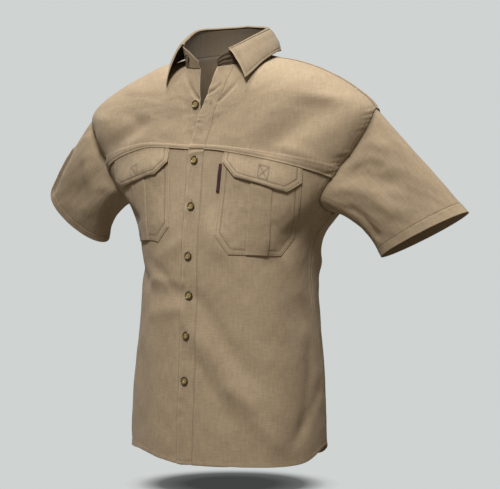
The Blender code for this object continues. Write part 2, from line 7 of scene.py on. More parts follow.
import bpy
import numpy as np
from math import pi, radians
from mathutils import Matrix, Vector


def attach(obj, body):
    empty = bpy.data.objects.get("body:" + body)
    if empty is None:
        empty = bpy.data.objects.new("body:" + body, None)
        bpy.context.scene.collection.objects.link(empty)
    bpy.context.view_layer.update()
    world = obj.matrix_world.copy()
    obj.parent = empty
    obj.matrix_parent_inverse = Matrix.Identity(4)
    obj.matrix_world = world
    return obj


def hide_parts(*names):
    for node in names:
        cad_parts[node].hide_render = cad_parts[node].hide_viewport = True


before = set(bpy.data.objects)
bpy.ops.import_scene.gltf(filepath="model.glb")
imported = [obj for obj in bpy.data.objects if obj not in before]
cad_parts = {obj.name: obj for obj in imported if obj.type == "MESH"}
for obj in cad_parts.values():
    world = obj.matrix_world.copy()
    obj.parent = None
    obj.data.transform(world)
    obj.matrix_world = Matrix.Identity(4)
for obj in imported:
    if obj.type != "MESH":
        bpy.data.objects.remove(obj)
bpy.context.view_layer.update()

CLOTH = 0.0010       # thickness of the cloth that shows
WALL = 0.0013        # thickness of one layer in the solids
UNDERARM, TIP, NECK = 0.44, 0.62, 0.84
FRONT_SEAM, BACK_SEAM = 0.51, 0.58
SEAM_CENTRE = 0.53   # run of the front yoke seam at the centre
SEAM_SEEN = 0.535    # the same for the cloth, which lies a little higher there
POCKET_FOOT = 0.3535
SIDE_REACH = 0.262   # from the centre to the side seam at the pocket's foot
HEM_ROW = 0.0062     # the hem's stitches
CORNER = 32.6        # degrees from the centre front to the collar's ends
TRUNK_R = 0.155      # radii that turn angles into metres for folds
SLEEVE_R, SLEEVE_LONG = 0.075, 0.19

# Rings of the trunk, hem to neck, as in the solids.
RINGS = np.array([
    # run    wide   front  back   z_front z_side  z_back  square
    [0.000, 0.184, 0.142, 0.124, -0.702, -0.702, -0.702, 2.3],
    [0.060, 0.183, 0.139, 0.122, -0.640, -0.640, -0.640, 2.3],
    [0.160, 0.178, 0.133, 0.120, -0.535, -0.535, -0.535, 2.3],
    [0.260, 0.169, 0.128, 0.117, -0.430, -0.430, -0.430, 2.3],
    [0.340, 0.169, 0.125, 0.117, -0.352, -0.356, -0.352, 2.3],
    [0.395, 0.181, 0.121, 0.119, -0.295, -0.305, -0.295, 2.3],
    [0.440, 0.214, 0.114, 0.121, -0.240, -0.267, -0.240, 2.3],
    [0.520, 0.255, 0.106, 0.118, -0.165, -0.185, -0.165, 2.5],
    [0.620, 0.298, 0.097, 0.105, -0.110, -0.090, -0.085, 2.0],
    [0.690, 0.242, 0.094, 0.098, -0.086, -0.042, -0.048, 2.0],
    [0.770, 0.155, 0.090, 0.080, -0.052, -0.003, 0.004, 2.0],
    [0.840, 0.072, 0.084, 0.062, -0.012, 0.014, 0.028, 2.0],
])

# How the wearer's right side differs: it is lifted, and a little narrower.
RIGHT_SIDE = np.array([
    # run   lift   width
    [0.0000, 0.019, 0.975],
    [0.1000, 0.016, 0.980],
    [0.2000, 0.015, 0.960],
    [0.3000, 0.020, 0.955],
    [0.3535, 0.026, 0.970],
    [0.4400, 0.028, 0.990],
    [0.4900, 0.021, 1.000],
    [0.5300, 0.019, 1.000],
    [0.5600, 0.012, 1.000],
    [0.6200, 0.000, 1.000],
    [0.8400, 0.000, 1.000],
])

# Columns of a front: the band's, then metres from the centre, then shares of what is left.
COLUMNS = [0.034, 0.047, 0.075, 0.105, 0.1245, 0.144, 0.168, 0.192]
SPREAD = [0.33, 0.67, 1.0]
BAND = {+1: [0.0, 0.0105, 0.0215, 0.032], -1: [0.0, 0.015, 0.0305, 0.0375]}
LAST = 14
LEAN = 0.065

# Distance of each front's edge from the centre line.
EDGE = np.array([
    # run   left    right
    [0.00, -0.016, -0.014],
    [0.53, -0.016, -0.014],
    [0.60, -0.005, -0.006],
    [0.66, -0.001, -0.001],
    [0.69, 0.003, 0.000],
    [0.84, 0.028, 0.005],
])
UNDERLAP = 0.0021    # how far the right front dips to pass below the left

# Folds of the trunk. Each line runs from one (degrees, run) to another, with
# degrees positive toward the wearer's left; depth is negative for a hollow.
FOLDS = [
    # deg_a  run_a  deg_b  run_b  width   depth
    [71, 0.625, 59.5, 0.549, 0.018, -0.0095],
    [78, 0.640, 83, 0.545, 0.014, 0.0055],
    [61, 0.545, 77, 0.518, 0.010, 0.0026],
    [80, 0.455, 67, 0.360, 0.018, -0.006],
    [21, 0.375, 58, 0.230, 0.022, 0.0036],
    [7, 0.272, 45, 0.160, 0.016, -0.003],
    [5, 0.210, 47, 0.115, 0.018, 0.0022],
    [6, 0.168, 34, 0.085, 0.014, -0.0022],
    [30, 0.335, 62, 0.205, 0.016, -0.0024],
    [36, 0.120, 60, 0.045, 0.014, 0.0035],
    [60, 0.335, 80, 0.245, 0.018, -0.006],
    [67, 0.348, 79, 0.290, 0.014, 0.003],
    [86, 0.185, 80, 0.065, 0.014, -0.0034],
    [92, 0.115, 74, 0.040, 0.013, -0.0028],
    [56, 0.090, 60, 0.000, 0.020, 0.003],
    [41.5, 0.775, 24, 0.713, 0.007, -0.003],
    [22, 0.775, 10, 0.752, 0.005, -0.0022],
    [-29, 0.825, -4, 0.742, 0.006, -0.003],
    [-57, 0.590, -66, 0.542, 0.015, -0.0045],
    [-64, 0.625, -73, 0.680, 0.018, -0.0015],
    [-76, 0.600, -79, 0.540, 0.012, 0.0035],
    [-44, 0.316, -10, 0.288, 0.012, -0.0024],
    [-40, 0.286, -18, 0.300, 0.009, 0.0016],
    [-42, 0.262, -10, 0.282, 0.012, -0.0016],
    [-36, 0.232, -8, 0.256, 0.012, 0.002],
    [-34, 0.318, -12, 0.372, 0.014, 0.0026],
    [-80, 0.330, -50, 0.290, 0.015, -0.0045],
    [-84, 0.450, -60, 0.400, 0.014, -0.004],
    [-50, 0.150, -42, 0.010, 0.020, -0.003],
    [-80, 0.180, -70, 0.030, 0.016, 0.0035],
    [112, 0.415, 146, 0.310, 0.018, -0.005],
    [108, 0.340, 150, 0.270, 0.014, 0.0035],
    [118, 0.270, 160, 0.225, 0.014, -0.0035],
    [160, 0.470, 172, 0.290, 0.026, 0.004],
    [150, 0.180, 142, 0.010, 0.024, 0.0045],
    [-112, 0.410, -146, 0.300, 0.018, -0.005],
    [-106, 0.330, -150, 0.255, 0.013, 0.003],
    [-120, 0.265, -164, 0.235, 0.012, -0.0035],
    [-158, 0.270, -170, 0.100, 0.026, -0.004],
    [-130, 0.170, -136, 0.010, 0.024, 0.0045],
    [128, 0.560, 150, 0.480, 0.020, -0.004],
    [-126, 0.570, -148, 0.470, 0.018, -0.0045],
    [104, 0.600, 112, 0.500, 0.014, 0.0035],
    [-104, 0.590, -111, 0.500, 0.014, 0.0035],
]

CUFF = {
    +1: dict(top=(0.456, 0.030, -0.268), low=(0.300, 0.020, -0.344), front=(0.0, -0.034, 0.0)),
    -1: dict(top=(-0.463, 0.070, -0.217), low=(-0.310, 0.050, -0.314), front=(0.0, -0.030, -0.018)),
}
SLEEVE_FOLDS = {
    # around_a along_a around_b along_b width  depth
    +1: [
        [88, 0.16, 74, 0.28, 0.007, -0.003],
        [98, 0.20, 78, 0.42, 0.013, -0.0055],
        [114, 0.20, 94, 0.66, 0.012, 0.004],
        [133, 0.40, 134, 0.75, 0.010, -0.0035],
        [72, 0.04, 55, 0.20, 0.010, 0.0025],
        [40, 0.10, 62, 0.50, 0.018, -0.0025],
        [-45, 0.08, -100, 0.70, 0.020, -0.005],
        [-85, 0.05, -130, 0.55, 0.014, 0.004],
        [-140, 0.10, -120, 0.60, 0.010, -0.0035],
    ],
    -1: [
        [84, 0.56, 112, 0.14, 0.016, -0.004],
        [86, 0.66, 128, 0.30, 0.013, -0.002],
        [60, 0.12, 84, 0.34, 0.014, 0.0035],
        [76, 0.05, 100, 0.02, 0.008, -0.003],
        [15, 0.40, 10, 0.95, 0.006, 0.004],
        [28, 0.45, 24, 0.90, 0.010, -0.0025],
        [-50, 0.08, -110, 0.60, 0.020, -0.005],
        [-90, 0.05, -135, 0.50, 0.014, 0.004],
        [-150, 0.10, -125, 0.60, 0.010, -0.0035],
    ],
}

COLLAR = np.array([
    # along  fold_deg fold_r  fold_z edge_deg edge_r edge_z
    [0.00, 32.6, 0.0890, 0.0205, 45.6, 0.126, -0.034],
    [0.25, 62.0, 0.0750, 0.0420, 66.0, 0.110, -0.002],
    [0.45, 90.0, 0.0700, 0.0570, 90.0, 0.100, 0.018],
    [0.72, 132.0, 0.0690, 0.0700, 132.0, 0.090, 0.027],
    [1.00, 180.0, 0.0640, 0.0780, 180.0, 0.081, 0.026],
])
COLLAR_RIGHT = np.array([
    [0.00, 32.6, 0.0890, 0.0330, 42.0, 0.115, -0.038],
    [0.25, 62.0, 0.0750, 0.0500, 64.0, 0.106, -0.005],
    [0.45, 90.0, 0.0700, 0.0670, 90.0, 0.098, 0.017],
    [0.72, 132.0, 0.0690, 0.0755, 132.0, 0.090, 0.028],
    [1.00, 180.0, 0.0640, 0.0780, 180.0, 0.081, 0.026],
])
STAND_ENDS = np.array([
    # degrees, height: the stand's ends are cut down in a curve
    [-32.6, 0.0300],
    [-18.0, 0.0180],
    [-3.4, 0.0000],
    [18.8, 0.0010],
    [25.0, 0.0115],
    [32.6, 0.0175],
])
ROLL = 0.0023        # outer radius of the roll where the collar turns over
BUTTONS = [
    # name       run    across
    ["button_2", 0.508, -0.001],
    ["button_3", 0.427, -0.002],
    ["button_4", 0.350, -0.002],
    ["button_5", 0.280, 0.000],
    ["button_6", 0.212, -0.002],
    ["button_7", 0.138, -0.003],
]
BUTTON_R = 0.0073


# Shapes


def weights(t):
    """What the start, its slope, the end and its slope give to a Hermite curve at t."""
    return 2 * t**3 - 3 * t**2 + 1, t**3 - 2 * t**2 + t, 3 * t**2 - 2 * t**3, t**3 - t**2


def hermite(table, x):
    xs, ys = table[:, 0], table[:, 1:]
    slope = np.gradient(ys, xs, axis=0)
    x = np.asarray(x, float)
    k = np.clip(np.searchsorted(xs, x) - 1, 0, len(xs) - 2)
    h = (xs[k + 1] - xs[k])[..., None]
    t = np.clip(((x - xs[k])[..., None]) / h, 0.0, 1.0)
    start, start_slope, end, end_slope = weights(t)
    return (start * ys[k] + start_slope * h * slope[k]
            + (end * ys[k + 1] + end_slope * h * slope[k + 1]))


def paired(a, b):
    return np.broadcast_arrays(np.asarray(a, float), np.asarray(b, float))


def unit(v):
    return v / np.maximum(np.linalg.norm(v, axis=-1, keepdims=True), 1e-12)


def smooth(x):
    x = np.clip(x, 0, 1)
    return x * x * (3 - 2 * x)


def bell(x, middle, width):
    return np.exp(-((x - middle) / width)**2)


def hem_rise(theta):
    return 0.026 * bell(np.abs(theta), pi / 2 + radians(12), 0.30)


def bare(theta, run):
    """The trunk with no folds. theta is 0 at the centre front."""
    theta, run = paired(theta, run)
    run = run + hem_rise(theta) * np.clip(1 - run / 0.12, 0, 1)
    wide, front, back, zf, zs, zb, square = np.moveaxis(hermite(RINGS, run), -1, 0)
    c, s = np.cos(theta), np.sin(theta)
    deep = np.where(c > 0, front, back)
    r = (np.abs(c / deep)**square + np.abs(s / wide)**square)**(-1 / square)
    bend = 2 - 0.8 * np.clip((run - 0.62) / 0.15, 0, 1)
    z = zs + (np.where(c > 0, zf, zb) - zs) * np.abs(c)**bend
    up = np.clip((run - UNDERARM) / (NECK - UNDERARM), 0, 1)
    lift = 0.012 * np.sin(pi * up)**2 * np.clip(-r * s / 0.25, 0, 1)
    raised, width = np.moveaxis(hermite(RIGHT_SIDE, run), -1, 0)
    right = smooth(-r * s / np.interp(run, [0, 0.36, 0.5, 0.56], [0.14, 0.10, 0.10, 0.15]))
    turned = np.arccos(np.clip(c, -1, 1))
    hump = smooth((turned - 0.87) / 0.43) * smooth((2.6 - turned) / 0.5) * smooth(-s * 5)
    lift += 0.007 * hump * bell(run, 0.79, 0.045)
    return np.stack([r * s * (1 + (width - 1) * right), -r * c, z + lift + raised * right], -1)


def normal(surface, a, b, flip=1.0):
    e = 1e-4
    da = surface(a + e, b) - surface(a - e, b)
    db = surface(a, b + e) - surface(a, b - e)
    return unit(np.cross(da, db)) * flip


def furrow(x, y, x0, y0, x1, y1, width, depth):
    """A soft ridge or trough along a line, fading out at both ends."""
    dx, dy = x1 - x0, y1 - y0
    long = np.hypot(dx, dy)
    along = ((x - x0) * dx + (y - y0) * dy) / long
    off = ((x - x0) * dy - (y - y0) * dx) / long
    off = off + 0.25 * width * np.sin(along / long * 4.0 + 40 * width)
    past = np.maximum(np.maximum(-along, along - long), 0)
    return depth * np.exp(-(off / width)**2 - (past / (1.5 * width))**2)


def creases(x, y, folds, radius, length=1.0):
    """All folds of a table, with its angles and its shares turned into metres."""
    return sum(furrow(x, y, radians(a) * radius, along_a * length, radians(b) * radius,
                      along_b * length, width, depth)
               for a, along_a, b, along_b, width, depth in folds)


def ripple(x, pitch, seed):
    """An uneven wave from -1 to 1."""
    bent = 2 * pi * x / pitch + 1.6 * np.sin(2 * pi * x / (3.7 * pitch) + seed) + seed
    return np.sin(bent) * (0.62 + 0.38 * np.sin(2 * pi * x / (5.3 * pitch) + 2.3 * seed))


def unrest(x, y, pitch, seed):
    """Slow, uneven swelling of the cloth, -1 to 1."""
    a = np.sin(2 * pi * (x + 0.35 * y) / pitch + seed)
    b = np.sin(2 * pi * (0.8 * y - 0.5 * x) / (0.73 * pitch) + 2.1 * seed + 1.3 * a)
    c = np.sin(2 * pi * (x - 0.9 * y) / (1.41 * pitch) + 0.7 * seed + b)
    return (a * b + c) * 0.5


def relief(theta, run):
    """How far the cloth stands off the bare trunk."""
    around = theta * TRUNK_R
    depth = 0.0006 * unrest(around, run, 0.105, 1.0) + 0.00015 * unrest(around, run, 0.031, 4.0)
    depth = depth + creases(around, run, FOLDS, TRUNK_R)
    return depth * np.clip((NECK - 0.01 - run) / 0.08, 0, 1)


def trunk(theta, run):
    theta, run = paired(theta, run)
    return bare(theta, run) + normal(bare, theta, run) * relief(theta, run)[..., None]


def side_angle(run):
    return pi / 2 + radians(12) * smooth(1 - np.asarray(run, float) / UNDERARM)


def armhole(around):
    """around: 0 at the shoulder tip, +90 degrees front, 180 underarm, -90 back."""
    low = (1 - np.cos(around)) / 2
    wide = np.where(np.sin(around) > 0, 0.08, 0.14) + 0.34 * low**3
    return pi / 2 - wide * np.sin(around), TIP + (UNDERARM - TIP) * low


def boundary(row, half):
    """Outer end of a row: side seam, armhole or shoulder seam. half +1 is front."""
    row = np.asarray(row, float)
    around = pi * (1 - (np.clip(row, UNDERARM, TIP) - UNDERARM) / (TIP - UNDERARM))
    arm_theta, arm_run = armhole(half * around)
    theta = np.where(row < UNDERARM, side_angle(row), np.where(row > TIP, pi / 2, arm_theta))
    run = np.where(row < UNDERARM, row, np.where(row > TIP, row, arm_run))
    return theta, run


# Distances round the rings, and the angle at each distance

ARC_RUNS = np.linspace(0, NECK, 85)
ARC_THETAS = np.linspace(-0.5, 2.2, 361)
DISTANCES = np.linspace(-0.04, 0.36, 401)
ARC_STEPS = np.linalg.norm(np.diff(bare(ARC_THETAS[None, :], ARC_RUNS[:, None]), axis=1), axis=-1)
ARC = np.concatenate([np.zeros((85, 1)), np.cumsum(ARC_STEPS, axis=1)], axis=1)
ARC = ARC - np.array([np.interp(0.0, ARC_THETAS, row) for row in ARC])[:, None]
ANGLE = np.array([np.interp(DISTANCES, row, ARC_THETAS) for row in ARC])


def table_at(table, xs, x, run):
    """Value of a table whose rows follow ARC_RUNS and columns follow xs."""
    i = np.clip(run / NECK * 84, 0, 83.999)
    j = np.clip((x - xs[0]) / (xs[1] - xs[0]), 0, len(xs) - 1.001)
    a, b = i.astype(int), j.astype(int)
    s, t = i - a, j - b
    return ((table[a, b] * (1 - s) + table[a + 1, b] * s) * (1 - t)
            + (table[a, b + 1] * (1 - s) + table[a + 1, b + 1] * s) * t)


def places(side, column, length, centre):
    """Distance from the centre line at a column, below the yoke seam."""
    edge = EDGE[0, 1 if side > 0 else 2]
    tilt = LEAN * (np.clip(centre, POCKET_FOOT, SEAM_CENTRE) - POCKET_FOOT)
    outer = COLUMNS[-1] + tilt
    table = [edge + b + 0 * tilt for b in BAND[side]] + [c + tilt for c in COLUMNS]
    table = np.stack(table + [outer + s * (length - outer) for s in SPREAD], -1)
    k = np.clip(column.astype(int), 0, LAST - 1)
    low = np.take_along_axis(table, k[..., None], -1)[..., 0]
    high = np.take_along_axis(table, k[..., None] + 1, -1)[..., 0]
    return low + (high - low) * (column - k)


class Front:
    """Part of a front: every place in it, by column and row of the solids."""

    def __init__(self, side, columns, rows):
        column, row = paired(columns, rows)
        end_theta, end_run = boundary(row, +1)
        centre = np.interp(row, [0, UNDERARM, FRONT_SEAM, NECK], [0, UNDERARM, SEAM_SEEN, NECK])
        reach = table_at(ARC, ARC_THETAS, end_theta, end_run)
        seam_theta, seam_run = boundary(np.array(FRONT_SEAM), +1)
        seam_reach = table_at(ARC, ARC_THETAS, seam_theta, seam_run)
        band = np.array(BAND[side])
        edge = np.interp(centre, EDGE[:, 0], EDGE[:, 1 if side > 0 else 2])
        below = places(side, column, reach, centre)
        start = EDGE[0, 1 if side > 0 else 2] + band[3]
        at_seam = places(side, column, seam_reach + 0 * row, SEAM_CENTRE + 0 * row)
        share = (at_seam - start) / (seam_reach - start)
        above = np.where(column <= 3, edge + np.interp(column, range(4), band),
                         edge + band[3] + share * (reach - edge - band[3]))
        self.side, self.column, self.row = side, column, row
        self.distance = np.where(row <= FRONT_SEAM, below, above)
        self.reach = reach
        u = np.clip(self.distance / reach, 0, 1)
        self.run = np.where(column >= LAST - 1e-9, end_run, centre + (end_run - centre) * u * u)
        angle = table_at(ANGLE, DISTANCES, self.distance, self.run)
        self.theta = side * np.where(column >= LAST - 1e-9, end_theta, angle)
        dip = np.interp(column, [0, 2, 3], [1.0, 1.0, 0.0]) * np.interp(row, [0.66, 0.80], [1, 0])
        self.dip = UNDERLAP * dip if side < 0 else 0 * dip
        self.edge = edge
        self.lay = self.distance, self.run

    def points(self, lift=0.0):
        n = normal(trunk, self.theta, self.run)
        return trunk(self.theta, self.run) + n * (np.asarray(lift) - self.dip)[..., None]


def sleeve(around, along, side):
    around, along = paired(around, along)
    theta, run = armhole(around)
    p0 = trunk(side * theta, run)
    top, low, front = (np.array(CUFF[side][k]) for k in ("top", "low", "front"))
    middle, up = (top + low) / 2, (top - low) / 2
    p1 = middle + np.cos(around)[..., None] * up + np.sin(around)[..., None] * front
    facing = unit(np.cross(up, front))
    if facing[2] > 0:
        facing = -facing
    w = (1 + np.cos(around)) / 2
    t0 = np.stack([side * (0.16 - 0.01 * w), 0 * w, -0.02 - 0.14 * w], -1)
    t1 = facing * (0.12 + 0.03 * w[..., None])
    t1[..., 0] += side * 0.06 * w
    start, start_slope, end, end_slope = weights(along[..., None])
    return start * p0 + start_slope * t0 + end * p1 + end_slope * t1


def sleeve_relief(around, along, side):
    turned = (around + pi) % (2 * pi) - pi
    x, y = turned * SLEEVE_R, along * SLEEVE_LONG
    depth = 0.0006 * unrest(x * np.cos(turned), y + x * np.sin(turned), 0.07, 2.0 + side)
    depth = depth + creases(x, y, SLEEVE_FOLDS[side], SLEEVE_R, SLEEVE_LONG)
    return depth * np.clip(along / 0.10, 0, 1) * np.clip((1.08 - along) / 0.25, 0, 1)


def creased_sleeve(around, along, side, lift=0.0):
    def plain(a, b):
        return sleeve(a, b, side)

    around, along = paired(around, along)
    depth = sleeve_relief(around, along, side) + lift
    inside = np.clip(along, 0.001, 0.999)
    return plain(around, along) + normal(plain, around, inside, side) * depth[..., None]


def collar_row(degrees):
    """Fold and edge of the collar leaf at an angle of its fold."""
    degrees = np.asarray(degrees, float)
    left = hermite(COLLAR[:, 1:], np.abs(degrees))
    right = hermite(COLLAR_RIGHT[:, 1:], np.abs(degrees))
    r, z, edge_deg, edge_r, edge_z = np.moveaxis(np.where(degrees[..., None] < 0, right, left), -1, 0)
    return np.where(degrees < 0, -1.0, 1.0), r, z, edge_deg, edge_r, edge_z


def polar(degrees, r, z):
    a = np.radians(degrees)
    return np.stack([r * np.sin(a), -r * np.cos(a), z + 0 * a], -1)


def stand(theta, up):
    theta, up = paired(theta, up)
    wrapped = (np.degrees(theta) + 180) % 360 - 180
    base = bare(theta, np.full(theta.shape, NECK))
    held = np.where(np.abs(wrapped) < CORNER, np.where(wrapped < 0, -CORNER, CORNER), wrapped)
    r = collar_row(held)[1]
    ends = np.interp(wrapped, STAND_ENDS[:, 0], STAND_ENDS[:, 1])
    z = np.where(np.abs(wrapped) < CORNER, ends, collar_row(wrapped)[2] - 0.003)
    top = np.stack([np.sin(theta) * r, -np.cos(theta) * r, z], -1)
    return base + (top - base) * up[..., None]


def leaf(degrees, down):
    """Collar leaf: down 0 at the stand's top, 1 where the roll ends, 2 at the edge."""
    degrees, down = paired(degrees, down)
    side, r, z, edge_deg, edge_r, edge_z = collar_row(degrees)
    turn = np.pi * (1 - np.clip(down, 0, 1))
    radius = r + ROLL * (1 + np.cos(turn)) - WALL
    roll = polar(degrees, radius, z - ROLL + ROLL * np.sin(turn))
    fold = polar(degrees, r + 2 * ROLL - WALL, z - ROLL)
    edge = polar(side * edge_deg, edge_r, edge_z)
    out = edge - fold
    out[..., 2] = 0
    v = np.clip(down - 1, 0, 1)[..., None]
    fall = fold + (edge - fold) * v + unit(out) * 0.005 * np.sin(pi * v)
    fall[..., 2] += 0.002 * np.sin(pi * np.minimum(v[..., 0] * 3, 1))
    return np.where((down <= 1)[..., None], roll, fall)


# Materials


def feed(tree, socket, value):
    """Give an input a value, or link it to another node's output."""
    if isinstance(value, bpy.types.NodeSocket):
        tree.links.new(value, socket)
    else:
        socket.default_value = value


def set_up(tree, node, settings):
    """Give a node its settings; those whose names start with in_ are inputs."""
    for key, value in settings.items():
        if key.startswith("in_"):
            feed(tree, node.inputs[key[3:].replace("_", " ")], value)
        else:
            setattr(node, key, value)
    return node


def add_node(tree, kind, **settings):
    return set_up(tree, tree.nodes.new(kind), settings)


def noise(tree, place, **settings):
    return add_node(tree, "ShaderNodeTexNoise", in_Vector=place, **settings).outputs["Fac"]


def ramp(tree, fac, stops):
    node = add_node(tree, "ShaderNodeValToRGB", in_Fac=fac)
    elements = node.color_ramp.elements
    while len(elements) < len(stops):
        elements.new(0.5)
    for element, (place, colour) in zip(elements, stops):
        element.position = place
        element.color = (*colour, 1.0)
    return node.outputs["Color"]


def mix(tree, fac, a, b):
    node = add_node(tree, "ShaderNodeMix", data_type="RGBA", in_Factor=fac)
    for socket, value in ((node.inputs[6], a), (node.inputs[7], b)):
        feed(tree, socket, (*value, 1.0) if isinstance(value, tuple) else value)
    return node.outputs[2]


def maths(tree, operation, a, b):
    node = add_node(tree, "ShaderNodeMath", operation=operation)
    for socket, value in zip(node.inputs, (a, b)):
        feed(tree, socket, value)
    return node.outputs[0]


def new_material(name, **settings):
    """A material, its node tree and its shader."""
    made = bpy.data.materials.new(name)
    made.use_nodes = True
    tree = made.node_tree
    return made, tree, set_up(tree, tree.nodes["Principled BSDF"], settings)


def cloth_material(name, base, light, dark, weave=0.22):
    """Cotton twill: fine diagonal ribs, slubs, pale edges from wear, and painted shade below 0."""
    made, tree, shader = new_material(name, in_Roughness=0.88, in_Specular_IOR_Level=0.25,
                                      in_Sheen_Weight=0.12, in_Sheen_Roughness=0.5)
    uv = add_node(tree, "ShaderNodeUVMap", uv_map="cloth").outputs["UV"]
    tone_wear_and_shade = add_node(tree, "ShaderNodeAttribute", attribute_name="tone_wear_and_shade").outputs["Fac"]
    ribs = add_node(tree, "ShaderNodeTexWave", wave_type="BANDS", bands_direction="DIAGONAL",
                    in_Vector=uv, in_Scale=520.0, in_Distortion=1.2, in_Detail=1.0).outputs["Fac"]
    cloud = noise(tree, uv, in_Scale=14.0, in_Detail=5.0, in_Roughness=0.55)
    slubs = []
    for squeeze, scale, detail in (((1.0, 0.16, 1.0), 260.0, 4.0), ((0.16, 1.0, 1.0), 420.0, 3.0)):
        squeezed = add_node(tree, "ShaderNodeMapping", in_Vector=uv, in_Scale=squeeze).outputs["Vector"]
        slubs.append(noise(tree, squeezed, in_Scale=scale, in_Detail=detail, in_Roughness=0.6))
    threads = maths(tree, "MULTIPLY", maths(tree, "ADD", *slubs), 0.5)
    tone = maths(tree, "ADD", maths(tree, "MULTIPLY", threads, 0.75),
                 maths(tree, "MULTIPLY", cloud, 0.25))
    colour = ramp(tree, tone, [(0.33, dark), (0.50, base), (0.67, light)])
    colour = mix(tree, maths(tree, "MULTIPLY", ribs, weave), colour, dark)
    pale = tuple(min(1.0, c * 1.22) for c in light)
    # deep is the painted shade colour: values below 0 mix the cloth toward it, for shade in seams,
    # grooves, slits, under laps and inside the neck, and for the stitched marks on the flaps
    deep = tuple(c * 0.25 for c in dark)
    colour = mix(tree, maths(tree, "MAXIMUM", tone_wear_and_shade, 0.0), colour, pale)
    painted_shade_and_marks = maths(tree, "MULTIPLY", tone_wear_and_shade, -1.0)
    colour = mix(tree, maths(tree, "MAXIMUM", painted_shade_and_marks, 0.0), colour, deep)
    height = maths(tree, "ADD", threads, maths(tree, "MULTIPLY", ribs, 0.5))
    bump = add_node(tree, "ShaderNodeBump", in_Strength=0.35, in_Distance=0.0006, in_Height=height)
    set_up(tree, shader, {"in_Base_Color": colour, "in_Normal": bump.outputs["Normal"]})
    return made


def thread_material(name, colour):
    made, tree, shader = new_material(name, in_Roughness=0.6, in_Specular_IOR_Level=0.4)
    place = add_node(tree, "ShaderNodeTexCoord").outputs["Object"]
    shade = ramp(tree, noise(tree, place, in_Scale=900.0, in_Detail=2.0),
                 [(0.35, tuple(c * 0.72 for c in colour)), (0.65, colour)])
    feed(tree, shader.inputs["Base Color"], shade)
    return made


def horn_material(name):
    """Mottled button: a dark rim and a golden middle."""
    made, tree, shader = new_material(name, in_Roughness=0.28, in_Specular_IOR_Level=0.6,
                                      in_Coat_Weight=0.4, in_Coat_Roughness=0.15)
    ring = add_node(tree, "ShaderNodeAttribute", attribute_name="tone_wear_and_shade").outputs["Fac"]
    place = add_node(tree, "ShaderNodeTexCoord").outputs["Object"]
    swirl = noise(tree, place, in_Scale=230.0, in_Detail=5.0, in_Roughness=0.6, in_Distortion=1.8)
    wobble = maths(tree, "MULTIPLY", maths(tree, "SUBTRACT", swirl, 0.5), 0.55)
    colour = ramp(tree, maths(tree, "ADD", ring, wobble),
                  [(0.0, (0.30, 0.20, 0.06)), (0.38, (0.42, 0.30, 0.10)),
                   (0.62, (0.16, 0.115, 0.035)), (0.82, (0.035, 0.026, 0.010))])
    feed(tree, shader.inputs["Base Color"], colour)
    return made


KHAKI = cloth_material("khaki_twill_cloth", (0.372, 0.288, 0.194), (0.450, 0.352, 0.242),
                       (0.290, 0.221, 0.145))
THREAD = thread_material("khaki_thread", (0.46, 0.37, 0.26))
HORN = horn_material("mottled_horn")
TAB = cloth_material("maroon_tab_cloth", (0.060, 0.020, 0.026), (0.095, 0.035, 0.043),
                     (0.030, 0.010, 0.014), weave=0.4)


# Making meshes


def grid_faces(rows, columns, wrap):
    j = np.arange(columns if wrap else columns - 1)
    i = np.arange(rows - 1)[:, None]
    a, b = i * columns + j, i * columns + (j + 1) % columns
    return np.stack([a, b, b + columns, a + columns], -1).reshape(-1, 4)


def grid_normals(grid, wrap, flip):
    if wrap:
        dc = np.roll(grid, -1, axis=1) - np.roll(grid, 1, axis=1)
    else:
        dc = np.gradient(grid, axis=1)
    return unit(np.cross(dc, np.gradient(grid, axis=0))) * flip


def make_object(name, points, faces, material, tone_wear_and_shade=None, uv=None):
    mesh = bpy.data.meshes.new(name)
    mesh.from_pydata(points.tolist(), [], faces if isinstance(faces, list) else faces.tolist())
    mesh.polygons.foreach_set("use_smooth", np.ones(len(mesh.polygons), bool))
    if tone_wear_and_shade is not None:
        layer = mesh.attributes.new("tone_wear_and_shade", "FLOAT", "POINT")
        layer.data.foreach_set("value", np.asarray(tone_wear_and_shade, np.float32).ravel())
    if uv is not None:
        corner = np.zeros(len(mesh.loops), np.int32)
        mesh.loops.foreach_get("vertex_index", corner)
        layer = mesh.uv_layers.new(name="cloth")
        layer.data.foreach_set("uv", np.asarray(uv, np.float32)[corner].ravel())
    mesh.materials.append(material)
    mesh.update()
    thing = bpy.data.objects.new(name, mesh)
    bpy.context.scene.collection.objects.link(thing)
    return thing


